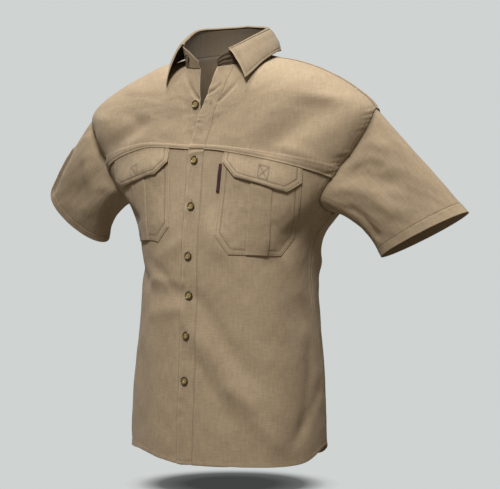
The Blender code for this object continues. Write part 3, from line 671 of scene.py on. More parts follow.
def make_cloth(node, grid, lay, flat, area, rests_on, tone_wear_and_shade, flip=1.0, wrap=False, thick=CLOTH,
               inside=0.0, material=KHAKI, slot="khaki_twill"):
    """A thin closed shell that replaces a node. lay holds the cloth's own x and y, in metres.

    The colour value is paler above 0, for wear on edges, and goes dark below 0, mostly as painted
    shade in seams, grooves and under laps, and also for a stitched mark; inside is its value on the second
    face, which is the hidden one, and on the collar and its stand the one that shows.
    flat and area, the cut of what shows, are not used."""
    rows, columns = grid.shape[:2]
    inner = grid - grid_normals(grid, wrap, flip) * thick
    face = grid_faces(rows, columns, wrap)
    count = rows * columns
    turned = face if flip > 0 else face[:, ::-1]
    pairs = {(a, b) for quad in turned.tolist() for a, b in zip(quad, quad[1:] + quad[:1])}
    rim = np.array(sorted(e for e in pairs if (e[1], e[0]) not in pairs))
    wall = np.stack([rim[:, 1], rim[:, 0], rim[:, 0] + count, rim[:, 1] + count], -1)
    faces = np.concatenate([turned, turned[:, ::-1] + count, wall])
    points = np.concatenate([grid.reshape(-1, 3), inner.reshape(-1, 3)])
    uv = np.stack(np.broadcast_arrays(*lay), -1).reshape(-1, 2)
    tone_wear_and_shade = np.concatenate([tone_wear_and_shade.ravel(), 0 * tone_wear_and_shade.ravel() + inside])
    thing = make_object(node + "_cloth", points, faces, material, tone_wear_and_shade, np.concatenate([uv, uv]))
    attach(thing, "root")
    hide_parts(node)


def cloth_on(part, node, lift, tone_wear_and_shade, *cut, **settings):
    """Cloth on a part of a front; cut, its flat size, its area and what it rests on, is not used."""
    make_cloth(node, part.points(lift), part.lay, *cut, tone_wear_and_shade, part.side, **settings)


def finer(start, end, step, near=()):
    """Places from start to end, closer together near some lines.

    near holds (place, half width, step) rows."""
    found = [start]
    while found[-1] < end - 1e-9:
        here = found[-1]
        size = step
        for place, half, small in near:
            gap = abs(here - place) - half
            size = min(size, small if gap <= 0 else max(small, min(step, small + 0.35 * gap)))
        found.append(min(here + size, end))
    if len(found) > 2 and found[-1] - found[-2] < 0.3 * step:
        found.pop(-2)
    return np.array(found)


def groove(distance, at, deep=0.00045, width=0.0009):
    return -deep * bell(distance, at, width)


class Seams:
    """Collects stitches, and makes one mesh of them at the end."""

    def __init__(self):
        self.points, self.faces, self.count = [], [], 0

    def run(self, path, facing, length=0.0025, gap=0.0009, half=0.00030, lift=0.00012):
        """Lay stitches along a path of points, with the cloth's normals."""
        step = np.linalg.norm(np.diff(path, axis=0), axis=1)
        travelled = np.concatenate([[0], np.cumsum(step)])
        starts = np.arange(0.3 * gap, travelled[-1] - length, length + gap)
        if not len(starts):
            return

        def at(s, values):
            return np.stack([np.interp(s, travelled, values[:, k]) for k in range(3)], -1)

        up = unit(at(starts + length / 2, facing))
        a, b = at(starts, path), at(starts + length, path)
        self.lay(a, b, up, half, lift)

    def lay(self, a, b, up, half, lift):
        along = b - a
        across = unit(np.cross(along, up)) * half
        rise = up * half
        base = up * lift
        rings = []
        for share in (0.28, 0.72):
            middle = a + along * share + base
            rings += [middle + across, middle + rise, middle - across, middle - rise]
        block = np.stack([a - rise * 0.5] + rings + [b - rise * 0.5], 1)
        faces = []
        for k in range(4):
            n = (k + 1) % 4
            faces += [(0, 1 + n, 1 + k), (9, 5 + k, 5 + n), (1 + k, 1 + n, 5 + n), (1 + k, 5 + n, 5 + k)]
        index = np.arange(len(a))[:, None, None] * 10 + self.count
        self.points.append(block.reshape(-1, 3))
        self.faces.append((np.array(faces)[None] + index).reshape(-1, 3))
        self.count += len(a) * 10

    def build(self, name):
        thing = make_object(name, np.concatenate(self.points), np.concatenate(self.faces), THREAD)
        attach(thing, "root")


def front_seam(side, columns, rows, lift=0.0, **settings):
    """Stitches along a line of (column, row) corners on a front."""
    ends = np.concatenate([[0], np.cumsum(np.hypot(np.diff(columns) * 0.02, np.diff(rows)))])
    t = np.linspace(0, ends[-1], max(20, int(ends[-1] / 0.0015)))
    part = Front(side, np.interp(t, ends, columns), np.interp(t, ends, rows))
    height = np.interp(t, ends, lift) if np.ndim(lift) else np.full(len(t), float(lift))
    path = part.points(height)
    stitches.run(path, normal(trunk, part.theta, part.run), **settings)


# Pieces

stitches = Seams()


def column_places(side, first, last, step, near=()):
    """Columns of a front, evenly spaced in metres at the pocket's foot."""
    table = places(side, np.arange(LAST + 1.0), np.full(LAST + 1, SIDE_REACH),
                   np.full(LAST + 1, POCKET_FOOT))
    lines = [(float(np.interp(c, range(LAST + 1), table)), half, small) for c, half, small in near]
    metres = finer(table[first], table[last], step, lines)
    return np.interp(metres, table, range(LAST + 1))


def yoke_seam(up, lap, deep):
    """Lift of the lapped, twice stitched seam along a yoke's foot."""
    return lap * smooth(1 - (up - 0.0075) / 0.0035) + groove(up, 0.0012, deep) + groove(up, 0.0080, deep)


def add_fronts():
    for side, word in ((+1, "left"), (-1, "right")):
        first = 3 if side > 0 else 0
        columns = column_places(side, first, LAST, 0.0032, [(LAST, 0.010, 0.0015), (first, 0.004, 0.0015)])
        rows = finer(0.0, FRONT_SEAM, 0.0034, [(0.006, 0.006, 0.0012), (FRONT_SEAM, 0.003, 0.0015)])
        part = Front(side, columns[None, :], rows[:, None])
        to_side = part.reach - part.distance
        arm = smooth((part.row - UNDERARM) / 0.012)
        lift = 0.0005 * smooth((0.0075 - part.row) / 0.001) + groove(part.row, HEM_ROW, 0.0004)
        lift += 0.0006 * smooth((0.0095 - to_side) / 0.0015) + groove(to_side, 0.0080) * (1 - arm)
        lift += 0.0005 * arm * smooth(1 - to_side / 0.012) * ripple(part.run, 0.011, 2.0)
        # Paler along the hem's fold, for wear. Painted shade: dark along the side seam, just below the
        # yoke seam and, on the right front, along the placket's free edge, where the laps above shade the
        # cloth.
        tone_wear_and_shade = 0.5 * bell(part.row, 0, 0.0012) - 0.35 * bell(to_side, 0, 0.001)
        tone_wear_and_shade -= 0.6 * smooth(1 - (FRONT_SEAM - part.row) / 0.006)
        if side < 0:
            under = part.distance + np.interp(part.row, EDGE[:, 0], EDGE[:, 1])
            tone_wear_and_shade -= 0.55 * bell(under, 0, 0.0022)
        flat, area = ((0.27, 0.56), 0.136) if side > 0 else ((0.30, 0.56), 0.152)
        cloth_on(part, f"front_{word}", lift, tone_wear_and_shade, flat, area, f"front_yoke_{word}")
        front_seam(side, [first, LAST], [HEM_ROW, HEM_ROW], 0.0004)
        front_seam(side, [LAST - 0.33, LAST - 0.33], [0.012, 0.432], 0.0006)
        front_seam(side, [LAST - 0.07, LAST - 0.07], [0.012, 0.432], 0.0006)

        rows = finer(FRONT_SEAM - 0.0016, NECK, 0.0030, [(FRONT_SEAM + 0.004, 0.008, 0.0011)])
        near = [(LAST, 0.012, 0.0013), (first, 0.004, 0.0015)]
        columns = column_places(side, first, LAST, 0.0030, near)
        part = Front(side, columns[None, :], rows[:, None])
        up = part.row - FRONT_SEAM
        to_side = part.reach - part.distance
        arm = smooth((TIP + 0.004 - part.row) / 0.01)
        lift = yoke_seam(up, 0.0021, 0.0006)
        lift += 0.00055 * ripple(part.distance, 0.010, 1.0) * bell(up, 0.004, 0.007)
        band = smooth(1 - (to_side - 0.0075) / 0.004) * arm
        lift += 0.0009 * band + groove(to_side, 0.0078, 0.0007) * arm
        fan = ripple(part.run + 0.25 * to_side, 0.0105, 3.0 + side)
        lift += 0.0012 * fan * arm * bell(to_side, 0.008, 0.009)
        shoulder = smooth((part.row - TIP) / 0.01)
        lift += groove(to_side, 0.0, 0.0006) * shoulder
        # Paler along the yoke's folded lower edge, for wear. Painted shade: dark in the stitch grooves of
        # the yoke seam and of the armhole seam.
        tone_wear_and_shade = 0.7 * bell(up, -0.0016, 0.0014) - 0.42 * bell(up, 0.008, 0.0012)
        tone_wear_and_shade -= 0.25 * bell(up, 0.0012, 0.0009)
        tone_wear_and_shade -= 0.32 * bell(to_side, 0.0078, 0.0013) * arm
        flat, area = ((0.28, 0.34), 0.057) if side > 0 else ((0.30, 0.34), 0.063)
        cloth_on(part, f"front_yoke_{word}", lift, tone_wear_and_shade, flat, area, "back_yoke_cloth")
        front_seam(side, [first, LAST - 0.4], [FRONT_SEAM + 0.0012] * 2, 0.0018)
        front_seam(side, [first, LAST - 0.4], [FRONT_SEAM + 0.0080] * 2, 0.0016)
        front_seam(side, [LAST - 0.36, LAST - 0.42], [FRONT_SEAM + 0.002, TIP - 0.002], 0.0008)

    near = [(0, 0.004, 0.001), (0.016, 0.0015, 0.0006), (0.032, 0.003, 0.001)]
    columns = np.interp(finer(0, 0.032, 0.0021, near), BAND[+1], range(4))
    near = [(0.006, 0.006, 0.0012), (FRONT_SEAM + 0.003, 0.008, 0.0009), (0.706, 0.010, 0.0012)]
    rows = finer(0.0, NECK, 0.0034, near)
    part = Front(+1, columns[None, :], rows[:, None])
    across = part.distance - part.edge
    lift = 0.0011 * smooth((0.030 - across) / 0.02) + groove(part.row, HEM_ROW, 0.0004)
    lift += groove(across, 0.0300, 0.0004, 0.0007)
    lift += 0.0005 * ripple(part.run, 0.030, 1.4) * smooth((0.02 - across) / 0.02)
    up = part.row - FRONT_SEAM
    lift += 0.0012 * smooth(up / 0.0012) * smooth(1 - (up - 0.008) / 0.004)
    lift += groove(up, 0.0080, 0.0004) + furrow(across, up, 0.006, -0.009, 0.030, -0.005, 0.003, 0.0016)
    # Paler along the band's free edge and the hem, for wear. Painted shade: dark just below the yoke seam,
    # in the buttonhole's slit and along the inner stitch line; a little paler along the yoke seam's upper
    # stitch row.
    tone_wear_and_shade = 0.7 * bell(across, 0, 0.0012) + 0.4 * bell(part.row, 0, 0.0012)
    tone_wear_and_shade -= 0.55 * bell(up, -0.0012, 0.0014) - 0.30 * bell(up, 0.008, 0.0011)
    slit = bell(across, 0.016, 0.0007)
    tone_wear_and_shade -= 0.9 * slit * smooth((0.009 - np.abs(part.row - 0.706)) / 0.0015)
    tone_wear_and_shade -= 0.20 * bell(across, 0.0312, 0.0012)
    cloth_on(part, "placket", lift, tone_wear_and_shade, (0.032, 0.74), None, "front_left_cloth")
    inner = np.interp(0.0300, BAND[+1], range(4))
    front_seam(+1, [inner, inner], [0.008, NECK - 0.006], 0.0003)
    front_seam(+1, [0.1, 2.9], [HEM_ROW, HEM_ROW], 0.0009)
    for row in (FRONT_SEAM + 0.0014, FRONT_SEAM + 0.0080):
        front_seam(+1, [0.1, 2.9], [row, row], 0.0022)


def back_part(rows, shares):
    row, share = np.broadcast_arrays(rows[:, None], shares[None, :])
    end_theta, end_run = boundary(row, -1)
    centre = np.interp(row, [0, UNDERARM, BACK_SEAM, NECK], [0, UNDERARM, 0.60, NECK])
    theta = pi + (pi - end_theta) * share
    run = centre + (end_run - centre) * share**2
    return np.where(theta > pi, theta - 2 * pi, theta), run, row, share


def back_points(theta, run, lift):
    return trunk(theta, run) + normal(trunk, theta, run) * lift[..., None]


def add_back():
    even = np.linspace(-1, 1, 165)
    shares = 0.55 * even + 0.45 * np.sin(even * pi / 2)
    rows = finer(0.0, BACK_SEAM, 0.0036, [(0.006, 0.006, 0.0012), (BACK_SEAM, 0.003, 0.0015)])
    theta, run, row, share = back_part(rows, shares)
    arm = smooth((row - UNDERARM) / 0.012)
    to_side = (1 - np.abs(share)) * 0.25
    lift = 0.0005 * smooth((0.0075 - row) / 0.001) + groove(row, HEM_ROW, 0.0004)
    lift += 0.0008 * ripple(run, 0.011, 5.0) * arm * bell(to_side, 0.007, 0.008)
    lift += 0.0008 * arm * smooth(1 - (to_side - 0.0075) / 0.004)
    # Paler along the hem's fold, for wear; painted shade just below the yoke seam, where the yoke's lap
    # shades the back.
    tone_wear_and_shade = 0.5 * bell(row, 0, 0.0012) - 0.4 * smooth(1 - (BACK_SEAM - row) / 0.006)
    make_cloth("back", back_points(theta, run, lift), (share * 0.26, run), (0.56, 0.64), 0.290,
               "back_yoke_cloth", tone_wear_and_shade, -1.0)

    rows = finer(BACK_SEAM - 0.0016, NECK, 0.0030, [(BACK_SEAM + 0.004, 0.008, 0.0011)])
    theta, run, row, share = back_part(rows, shares)
    up = row - BACK_SEAM
    to_side = (1 - np.abs(share)) * 0.25
    arm = smooth((TIP + 0.004 - row) / 0.01)
    lift = yoke_seam(up, 0.0019, 0.00045)
    lift += 0.00035 * ripple(share * 0.26, 0.010, 6.0) * bell(up, 0.004, 0.006)
    lift += 0.0009 * smooth(1 - (to_side - 0.0075) / 0.004) * arm
    # Paler along the yoke's folded edge, for wear; painted shade in the upper stitch groove.
    tone_wear_and_shade = 0.55 * bell(up, -0.0016, 0.0010) - 0.30 * bell(up, 0.008, 0.0012)
    make_cloth("back_yoke", back_points(theta, run, lift), (share * 0.26, run), (0.62, 0.28), 0.089,
               "collar_stand_cloth", tone_wear_and_shade, -1.0)

    def line(row_value, share_a, share_b, height):
        share = np.linspace(share_a, share_b, 400)
        theta, run, row, share = back_part(np.full(1, row_value), share)
        path = back_points(theta, run, np.full(theta.shape, height))[0]
        stitches.run(path, normal(trunk, theta, run)[0])

    line(HEM_ROW, -0.99, 0.99, 0.0004)
    line(BACK_SEAM + 0.0012, -0.98, 0.98, 0.0017)
    line(BACK_SEAM + 0.0080, -0.98, 0.98, 0.0015)


def add_sleeves():
    around = np.linspace(-pi, pi, 145)[:-1]
    for side, word in ((+1, "left"), (-1, "right")):
        along = finer(0.0, 1.0, 0.0165, [(0.90, 0.02, 0.005), (0.0, 0.03, 0.006), (1.0, 0.02, 0.006)])
        a, s = np.meshgrid(around, along)
        hem = smooth((s - 0.895) / 0.01)
        turned = (a + pi) % (2 * pi) - pi
        lift = 0.0005 * hem + groove(s * SLEEVE_LONG, 0.1700, 0.0006, 0.0011)
        lift += 0.0004 * ripple(turned * SLEEVE_R, 0.012, 1.0 + side) * bell(s, 0.9, 0.04)
        tuck = bell(s, 0, 0.03)
        lift -= 0.0006 * tuck
        # Paler along the hem's fold, for wear. Painted shade: dark in the tuck at the armhole seam and in
        # the hem's stitch groove.
        tone_wear_and_shade = 0.5 * bell((1 - s) * SLEEVE_LONG, 0, 0.0013) - 0.55 * tuck
        tone_wear_and_shade -= 0.2 * bell(s * SLEEVE_LONG, 0.170, 0.0014)
        grid = creased_sleeve(a, s, side, lift)
        make_cloth(f"sleeve_{word}", grid, (turned * SLEEVE_R, s * SLEEVE_LONG), (0.44, 0.24), 0.077,
                   f"front_yoke_{word}_cloth", tone_wear_and_shade, side, wrap=True)
        circle = np.linspace(-pi, pi, 500)
        hem_line = np.full(500, 0.893)
        facing = normal(lambda u, v: sleeve(u, v, side), circle, hem_line, side)
        stitches.run(creased_sleeve(circle, hem_line, side, 0.0003), facing)


def add_collar():
    left, right = (Front(s, np.array([0.0]), np.array([NECK])).theta[0] for s in (+1, -1))
    theta = np.linspace(right + 2 * pi, left, 200)
    up = np.linspace(0, 1, 18)
    a, v = np.meshgrid(theta, up)
    lift = groove(v * 0.04, 0.004, 0.0003) + 0.0003 * ripple(a * 0.075, 0.014, 2.0) * np.sin(pi * v)
    creased = smooth((np.degrees(a) - 5) / 10) * smooth((70 - np.degrees(a)) / 15)
    lift += 0.0009 * creased * np.sin(2 * pi * (3.2 * v + 0.9 * a)) * np.sin(pi * v)
    grid = stand(a, v) + normal(stand, a, np.clip(v, 0.01, 0.99)) * lift[..., None]
    # Painted shade: the stand's face toward the neck is near black but for its top row; its outer face is
    # a little dark all round, and dark at its creased front on the wearer's left, under the collar leaf.
    make_cloth("collar_stand", grid, (a * 0.075, v * 0.04), (0.46, 0.036), None, "back_yoke_cloth",
               -0.97 + 0.3 * (v > 0.97), thick=0.0012, inside=-0.15 - 0.65 * creased.ravel())

    degrees = np.concatenate([np.linspace(-CORNER, -180, 110), np.linspace(180, CORNER, 110)[1:]])
    down = np.concatenate([np.linspace(0, 1, 10), 1 + finer(0, 1, 0.045, [(0.9, 0.12, 0.02)])[1:]])
    d, v = np.meshgrid(degrees, down)
    swell = 0.0009 * unrest(np.radians(d) * 0.09, v * 0.045, 0.06, 3.0) * smooth(v - 1)
    to_edge = np.minimum((2 - v) * 0.050, (np.abs(d) - CORNER) * 0.0016)
    lift = swell + groove(to_edge, 0.0055, 0.0006) * (v > 1.05)
    facing = normal(leaf, d, np.where(v > 1, v - 0.001, v + 0.001), -1.0)
    grid = leaf(d, v) + facing * lift[..., None]
    # Paler along the outer edge, for wear, and dark in the stitch groove as painted shade. Painted shade
    # too: both faces of the leaf are set 0.30 toward the dark, so the same cloth reads duller here than on
    # the body.
    tone_wear_and_shade = 0.5 * bell(to_edge, 0, 0.0012) * (v > 0.9) - 0.35 * bell(to_edge, 0.0055, 0.001)
    tone_wear_and_shade -= 0.30
    make_cloth("collar_leaf", grid, (np.radians(d) * 0.09, v * 0.05), (0.50, 0.060), 0.026,
               "collar_stand_cloth", 0 * tone_wear_and_shade - 0.30, -1.0, thick=0.0012, inside=tone_wear_and_shade.ravel())
    for which in (-1, 1):
        t = np.linspace(0, 1, 300)
        edge_in = CORNER + 0.0055 / 0.0016
        d = np.concatenate([np.full(60, edge_in), edge_in + (180 - edge_in) * t])
        v = np.concatenate([np.linspace(1.1, 2 - 0.11, 60), np.full(300, 2 - 0.11)])
        path = leaf(which * d, v)
        facing = normal(leaf, which * d, v, -1.0)
        stitches.run(path + facing * 0.0003, facing)


def chamfered(side, left, right, chamfer, low, high, top, step, extra):
    """Grid of a patch whose two lower corners are cut off."""
    near = [(left, 0.012, extra), (right, 0.012, extra)]
    columns = column_places(side, left, right, step, near)
    columns = np.unique(np.concatenate([columns, [left + chamfer, right - chamfer]]))
    foot = np.interp(columns, [left, left + chamfer, right - chamfer, right], [high, low, low, high])
    t = finer(0, 1, step / (top - low), [(0, 0.012 / (top - low), extra / (top - low))])
    return np.broadcast_to(columns[None, :], (len(t), len(columns))), foot + (top - foot) * t[:, None]


def outline_distance(x, y, corners):
    """Distance from points to an outline of (x, y) corners, left open at the top."""
    best = np.full(x.shape, 1.0)
    for (x0, y0), (x1, y1) in zip(corners, corners[1:]):
        dx, dy = x1 - x0, y1 - y0
        t = np.clip(((x - x0) * dx + (y - y0) * dy) / (dx * dx + dy * dy), 0, 1)
        best = np.minimum(best, np.hypot(x - x0 - t * dx, y - y0 - t * dy))
    return best


def patch_corners(side, left, right, chamfer, low, high, top):
    columns = np.array([left, left, left + chamfer, right - chamfer, right, right], float)
    rows = np.array([top, high, low, low, high, top])
    part = Front(side, columns, rows)
    return columns, rows, list(zip(part.distance, part.run))


def inward(columns, rows, amount):
    """Move an outline's corners toward its middle by some metres."""
    shift = [(1, 0), (1, 0.41), (0.41, 1), (-0.41, 1), (-1, 0.41), (-1, 0)]
    scale = [0.028, 0.028, 0.028, 0.024, 0.024, 0.024]
    cols = [c + amount * s[0] / k for c, s, k in zip(columns, shift, scale)]
    return cols, [r + amount * s[1] for r, s in zip(rows, shift)]


def flap_hang(row):
    """How far down a flap a row lies, from 0 at its seam to 1."""
    return smooth((FRONT_SEAM - np.asarray(row)) / 0.035)


def flap_lift(column, row, extra=0.0):
    """How far a flap stands off its front: clear below, and swelling in its middle."""
    swell = 0.5 + 0.5 * np.cos((np.asarray(column) - 8) / 3 * pi)
    return 0.0012 + flap_hang(row) * (0.0062 + 0.0012 * swell + extra)


def add_pockets():
    for side, word in ((+1, "left"), (-1, "right")):
        shape = (5, 11, 1.0, POCKET_FOOT, 0.387, 0.497)
        column, row = chamfered(side, *shape, 0.0026, 0.0011)
        part = Front(side, column, row)
        columns, rows, corners = patch_corners(side, *shape)
        inside = outline_distance(part.distance, part.run, corners)
        belly = smooth(inside / 0.03) * smooth((0.500 - part.row) / 0.022)
        lift = 0.0016 + 0.0022 * belly - 0.0004 * smooth(1 - inside / 0.0012)
        lift += groove(inside, 0.0018, 0.0004, 0.0007) + groove(inside, 0.0095, 0.0006)
        lift += 0.0006 * unrest(part.distance, part.run, 0.045, 7.0 + side) * belly
        # Paler along the pocket's edge, for wear; painted shade in the two stitch grooves.
        tone_wear_and_shade = 0.6 * bell(inside, 0, 0.0012) - 0.38 * bell(inside, 0.0095, 0.0012)
        tone_wear_and_shade -= 0.30 * bell(inside, 0.0022, 0.0008)
        cloth_on(part, f"pocket_{word}", lift, tone_wear_and_shade, (0.147, 0.150), 0.0215, f"front_{word}_cloth",
                 thick=0.0009)
        for amount, height in ((0.0018, 0.0014), (0.0095, 0.0022)):
            cols, steps_up = inward(columns, rows, amount)
            front_seam(side, cols, steps_up, height)

        pleat = column_places(side, 7, 9, 0.0024, [(7, 0.003, 0.0008), (9, 0.003, 0.0008)])
        rows_up = finer(0.3540, 0.488, 0.0030, [(0.3600, 0.006, 0.0012)])
        part = Front(side, pleat[None, :], rows_up[:, None])
        middle = np.abs(pleat - 8)[None, :]
        up = part.row - POCKET_FOOT
        lift = 0.0050 - 0.0005 * smooth((middle - 0.85) / 0.15) - 0.0022 * smooth(1 - up / 0.03)
        lift += 0.0005 * ripple(part.run, 0.043, side) * (1 - middle)
        lift -= 0.0016 * smooth((part.row - 0.470) / 0.016)
        tone_wear_and_shade = 0.45 * smooth((middle - 0.93) / 0.07) + 0 * part.row
        cloth_on(part, f"pocket_pleat_{word}", lift, tone_wear_and_shade, (0.040, 0.145), None,
                 f"pocket_{word}_cloth", thick=0.0009)

        low, high = (0.475, 0.493) if side > 0 else (0.464, 0.484)
        shape = (5, 11, 1.0, low, high, FRONT_SEAM - 0.0002)
        column, row = chamfered(side, *shape, 0.0010, 0.0008)
        part = Front(side, column, row)
        columns, rows, corners = patch_corners(side, *shape)
        inside = outline_distance(part.distance, part.run, corners)
        hang = flap_hang(part.row)
        lift = flap_lift(part.column, part.row) + 0.0006 * smooth(inside / 0.004) * hang
        lift += groove(inside, 0.0016, 0.0004, 0.0007) + groove(inside, 0.0085, 0.0006)
        lift += 0.0007 * unrest(part.distance, part.run, 0.05, 9.0 + side) * hang
        # Paler along the flap's edge, for wear; painted shade in the two stitch grooves.
        tone_wear_and_shade = 0.8 * bell(inside, 0, 0.0013) - 0.38 * bell(inside, 0.0085, 0.0012)
        tone_wear_and_shade -= 0.25 * bell(inside, 0.0022, 0.0008)
        box = (7.62, 8.55, low + 0.0080, low + 0.0245)
        mark_x = (part.column - box[0]) / (box[1] - box[0]) * 2 - 1
        mark_y = (part.row - box[2]) / (box[3] - box[2]) * 2 - 1
        size = np.maximum(np.abs(mark_x), np.abs(mark_y))
        cross = np.minimum(np.abs(mark_x - mark_y), np.abs(mark_x + mark_y))
        lines = np.maximum(bell(size, 1, 0.10), bell(cross, 0, 0.13) * (size < 1))
        tone_wear_and_shade -= 0.5 * lines
        lift -= 0.0003 * lines
        cloth_on(part, f"flap_{word}", lift, tone_wear_and_shade, (0.147, 0.045), 0.0064,
                 f"front_yoke_{word}_cloth")
        for amount in (0.0016, 0.0085):
            cols, steps_up = inward(columns, rows, amount)
            front_seam(side, cols, steps_up, flap_lift(cols, steps_up, 0.0005))
        x0, x1, y0, y1 = box
        for line in ([(x0, y1), (x1, y1), (x1, y0), (x0, y0), (x0, y1)],
                     [(x0, y1), (x1, y0)], [(x1, y1), (x0, y0)]):
            cols, steps_up = np.array(line).T
            front_seam(side, cols, steps_up, flap_lift(cols, steps_up, 0.0005) + 0.0002,
                       length=0.0016, gap=0.0003)
    columns = np.linspace(4.45, 4.92, 8)
    rows = np.linspace(0.449, 0.4885, 24)
    part = Front(+1, columns[None, :], rows[:, None])
    lift = 0.0022 + 0.0004 * ripple(part.run, 0.03, 0.4)
    tone_wear_and_shade = 0.25 * bell(part.column, 4.45, 0.06) + 0 * part.row
    cloth_on(part, "side_tab", lift, tone_wear_and_shade, (0.010, 0.040), 0.00027, "pocket_left_cloth",
             thick=0.0008, material=TAB, slot="woven_tab")


def add_button(name, point, facing, tilt=0.0):
    """A four-hole button with a raised rim, and the thread that holds it."""
    facing = unit(facing)
    across = unit(np.cross(facing, [0.0, 0.0, 1.0]))
    up = np.cross(across, facing)
    turns, rings = 64, 26
    angle = np.linspace(0, 2 * pi, turns, endpoint=False) + tilt
    radius = np.concatenate([np.linspace(0.0002, 0.0044, 15), np.linspace(0.0047, BUTTON_R, 11)])
    shape = np.interp(radius, [0, 0.0040, 0.0050, 0.0058, 0.0066, 0.0071, BUTTON_R],
                      [0.0019, 0.0019, 0.0023, 0.0029, 0.0029, 0.0025, 0.0016])
    a, r = np.meshgrid(angle, radius)
    u, v = r * np.cos(a), r * np.sin(a)
    height = np.broadcast_to(shape[:, None], r.shape).copy()
    for hx in (-0.00125, 0.00125):
        for hy in (-0.00125, 0.00125):
            height -= 0.0012 * smooth((0.00085 - np.hypot(u - hx, v - hy)) / 0.0004)
    top = point + u[..., None] * across + v[..., None] * up + height[..., None] * facing
    under_r = np.array([0.0070, 0.0060, 0.0002])
    under_h = np.array([0.0006, 0.0, 0.0])
    au, ru = np.meshgrid(angle, under_r)
    under = (point + (ru * np.cos(au))[..., None] * across + (ru * np.sin(au))[..., None] * up
             + under_h[:, None, None] * facing)
    points = np.concatenate([top.reshape(-1, 3), under.reshape(-1, 3)])
    rows = len(radius) + len(under_r)
    faces = grid_faces(rows, turns, True)
    centre_top, centre_low = len(points), len(points) + 1
    points = np.concatenate([points, [point + facing * 0.0019], [point]])
    k = np.arange(turns)
    n = (k + 1) % turns
    last = (rows - 1) * turns
    fans = [(int(centre_top), int(j), int(i)) for i, j in zip(k, n)]
    fans += [(int(centre_low), int(last + i), int(last + j)) for i, j in zip(k, n)]
    tone_wear_and_shade = np.concatenate([np.repeat(radius / BUTTON_R, turns), np.ones(3 * turns), [0, 1]])
    faces = [tuple(f[::-1]) for f in faces.tolist()] + fans
    thing = make_object(name + "_horn", points, faces, HORN, tone_wear_and_shade)
    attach(thing, "root")
    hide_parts(name)
    for sign in (-1, 1):
        for k in range(3):
            off = sign * 0.00125 + (k - 1) * 0.00022
            a0 = point + facing * 0.0012 + up * off - across * 0.00135
            b0 = point + facing * 0.0012 + up * off + across * 0.00135
            stitches.lay(a0[None], b0[None], facing[None], 0.00022, 0.0009)


def add_buttonhole(side, column, row, length, lift):
    """Satin stitches on both sides of a narrow slit."""
    for sign in (-1, 1):
        rows = np.arange(row - length / 2, row + length / 2, 0.00042)
        inner = Front(side, column + sign * 0.025, rows)
        outer = Front(side, column + sign * 0.15, rows)
        facing = normal(trunk, inner.theta, inner.run)
        stitches.lay(inner.points(lift), outer.points(lift), facing, 0.00026, 0.0002)
    for end in (row - length / 2, row + length / 2):
        cols = np.linspace(column - 0.14, column + 0.14, 7)
        a = Front(side, cols, end - 0.0007)
        b = Front(side, cols, end + 0.0007)
        stitches.lay(a.points(lift), b.points(lift), normal(trunk, a.theta, a.run), 0.0003, 0.0002)


def add_buttons():
    for k, (name, run, across) in enumerate(BUTTONS):
        theta = table_at(ANGLE, DISTANCES, np.array(across), np.array(run))
        facing = normal(trunk, theta, np.array(run))
        add_button(name, trunk(theta, np.array(run)) + facing * 0.0013, facing, 0.4 * k)
        row = float(np.interp(run, [0, UNDERARM, SEAM_CENTRE], [0, UNDERARM, FRONT_SEAM]))
        column = float(np.interp(across + 0.016, BAND[+1], range(4)))
        add_buttonhole(+1, column, row + 0.0005, 0.019, 0.0010)
    part = Front(-1, np.array([0.6]), np.array([0.705]))
    facing = normal(trunk, part.theta, part.run)[0]
    add_button("button_1", part.points(0.0006)[0], facing, 0.3)
    add_buttonhole(+1, 1.5, 0.706, 0.017, 0.0007)
    theta = np.array(radians(-25))
    facing = normal(stand, theta, np.array(0.5), -1.0)
    facing = facing if facing[1] < 0 else -facing
    add_button("button_collar", stand(theta, np.array(0.5)) + facing * 0.0006, facing, 0.8)


# Floor, lights and camera


def look_at(thing, place):
    thing.rotation_euler = (Vector(place) - thing.location).to_track_quat("-Z", "Y").to_euler()


def add_light(name, place, target, size, power, colour=(1, 1, 1)):
    lamp = bpy.data.lights.new(name, "AREA")
    lamp.shape, lamp.size, lamp.energy, lamp.color = "DISK", size, power, colour
    thing = bpy.data.objects.new(name, lamp)
    thing.location = place
    bpy.context.scene.collection.objects.link(thing)
    look_at(thing, target)
    return thing


def choose(tree, fac, first, second, end):
    """Mix two shaders by fac, and send the result to the node named end."""
    either = add_node(tree, "ShaderNodeMixShader", in_Fac=fac)
    tree.links.new(first.outputs[0], either.inputs[1])
    tree.links.new(second.outputs[0], either.inputs[2])
    tree.links.new(either.outputs[0], tree.nodes[end].inputs["Surface"])


def add_world():
    """An even pale backdrop that gives the shirt only weak light."""
    world = bpy.data.worlds.new("studio")
    world.use_nodes = True
    tree = world.node_tree
    seen = tree.nodes["Background"]
    seen.inputs["Color"].default_value = (0.623, 0.651, 0.644, 1)
    fill = add_node(tree, "ShaderNodeBackground", in_Strength=0.30, in_Color=(0.69, 0.60, 0.47, 1))
    path = add_node(tree, "ShaderNodeLightPath")
    choose(tree, path.outputs["Is Camera Ray"], fill, seen, "World Output")
    bpy.context.scene.world = world


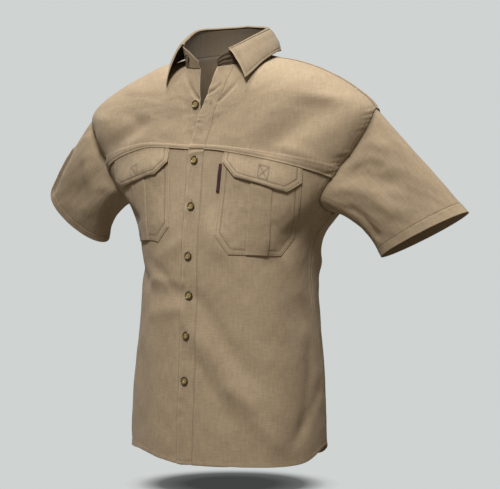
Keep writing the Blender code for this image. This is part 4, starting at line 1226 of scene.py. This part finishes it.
def add_floor_shadow(turn):
    """The soft dark patch on the floor under the hem."""
    patch, tree, shader = new_material("floor_shadow", in_Base_Color=(0.02, 0.02, 0.02, 1),
                                       in_Roughness=1.0, in_Specular_IOR_Level=0.0)
    place = add_node(tree, "ShaderNodeTexCoord").outputs["Object"]
    size = add_node(tree, "ShaderNodeMapping", in_Vector=place, in_Scale=(1 / 0.195, 1 / 0.20, 1.0))
    ball = add_node(tree, "ShaderNodeTexGradient", gradient_type="SPHERICAL",
                    in_Vector=size.outputs["Vector"])
    dark = ramp(tree, ball.outputs["Fac"], [(0.0, (0, 0, 0)), (0.12, (0.12, 0.12, 0.12)),
                                            (0.34, (0.80, 0.80, 0.80)), (0.6, (0.92, 0.92, 0.92))])
    clear = add_node(tree, "ShaderNodeBsdfTransparent")
    choose(tree, dark, clear, shader, "Material Output")
    corners = np.array([(-0.4, -0.4, 0), (0.4, -0.4, 0), (0.4, 0.4, 0), (-0.4, 0.4, 0)])
    floor = make_object("floor_shadow", corners, [(0, 1, 2, 3)], patch)
    floor.location = (0.004, 0.003, -0.752)
    floor.rotation_euler = (0.0, 0.0, turn)


def add_stage():
    scene = bpy.context.scene
    turn = radians(33)
    add_world()
    add_floor_shadow(turn)
    middle = (0.0, 0.0, -0.30)
    add_light("key", (0.75, -2.0, 2.2), middle, 0.8, 104, (1.0, 0.985, 0.95))
    add_light("top", (-0.2, -0.1, 2.4), middle, 0.8, 58, (1.0, 0.98, 0.94))
    inner = add_light("neck", (0.03, -0.01, 0.0), (-0.10, 0.07, -0.09), 0.03, 0.10)
    inner.visible_camera = False
    camera_data = bpy.data.cameras.new("camera")
    camera_data.sensor_width = 36.0
    camera_data.lens = 120.0
    camera = bpy.data.objects.new("camera", camera_data)
    target = np.array([0.0, 0.0, -0.322])
    camera.location = target + 3.0 * np.array([np.sin(turn), -np.cos(turn), 0.0])
    scene.collection.objects.link(camera)
    look_at(camera, target + 0.0378 * np.array([np.cos(turn), np.sin(turn), 0.0]))
    scene.camera = camera
    scene.view_settings.view_transform = "Standard"


add_fronts()
add_back()
add_sleeves()
add_collar()
add_pockets()
add_buttons()
stitches.build("stitching")
add_stage()
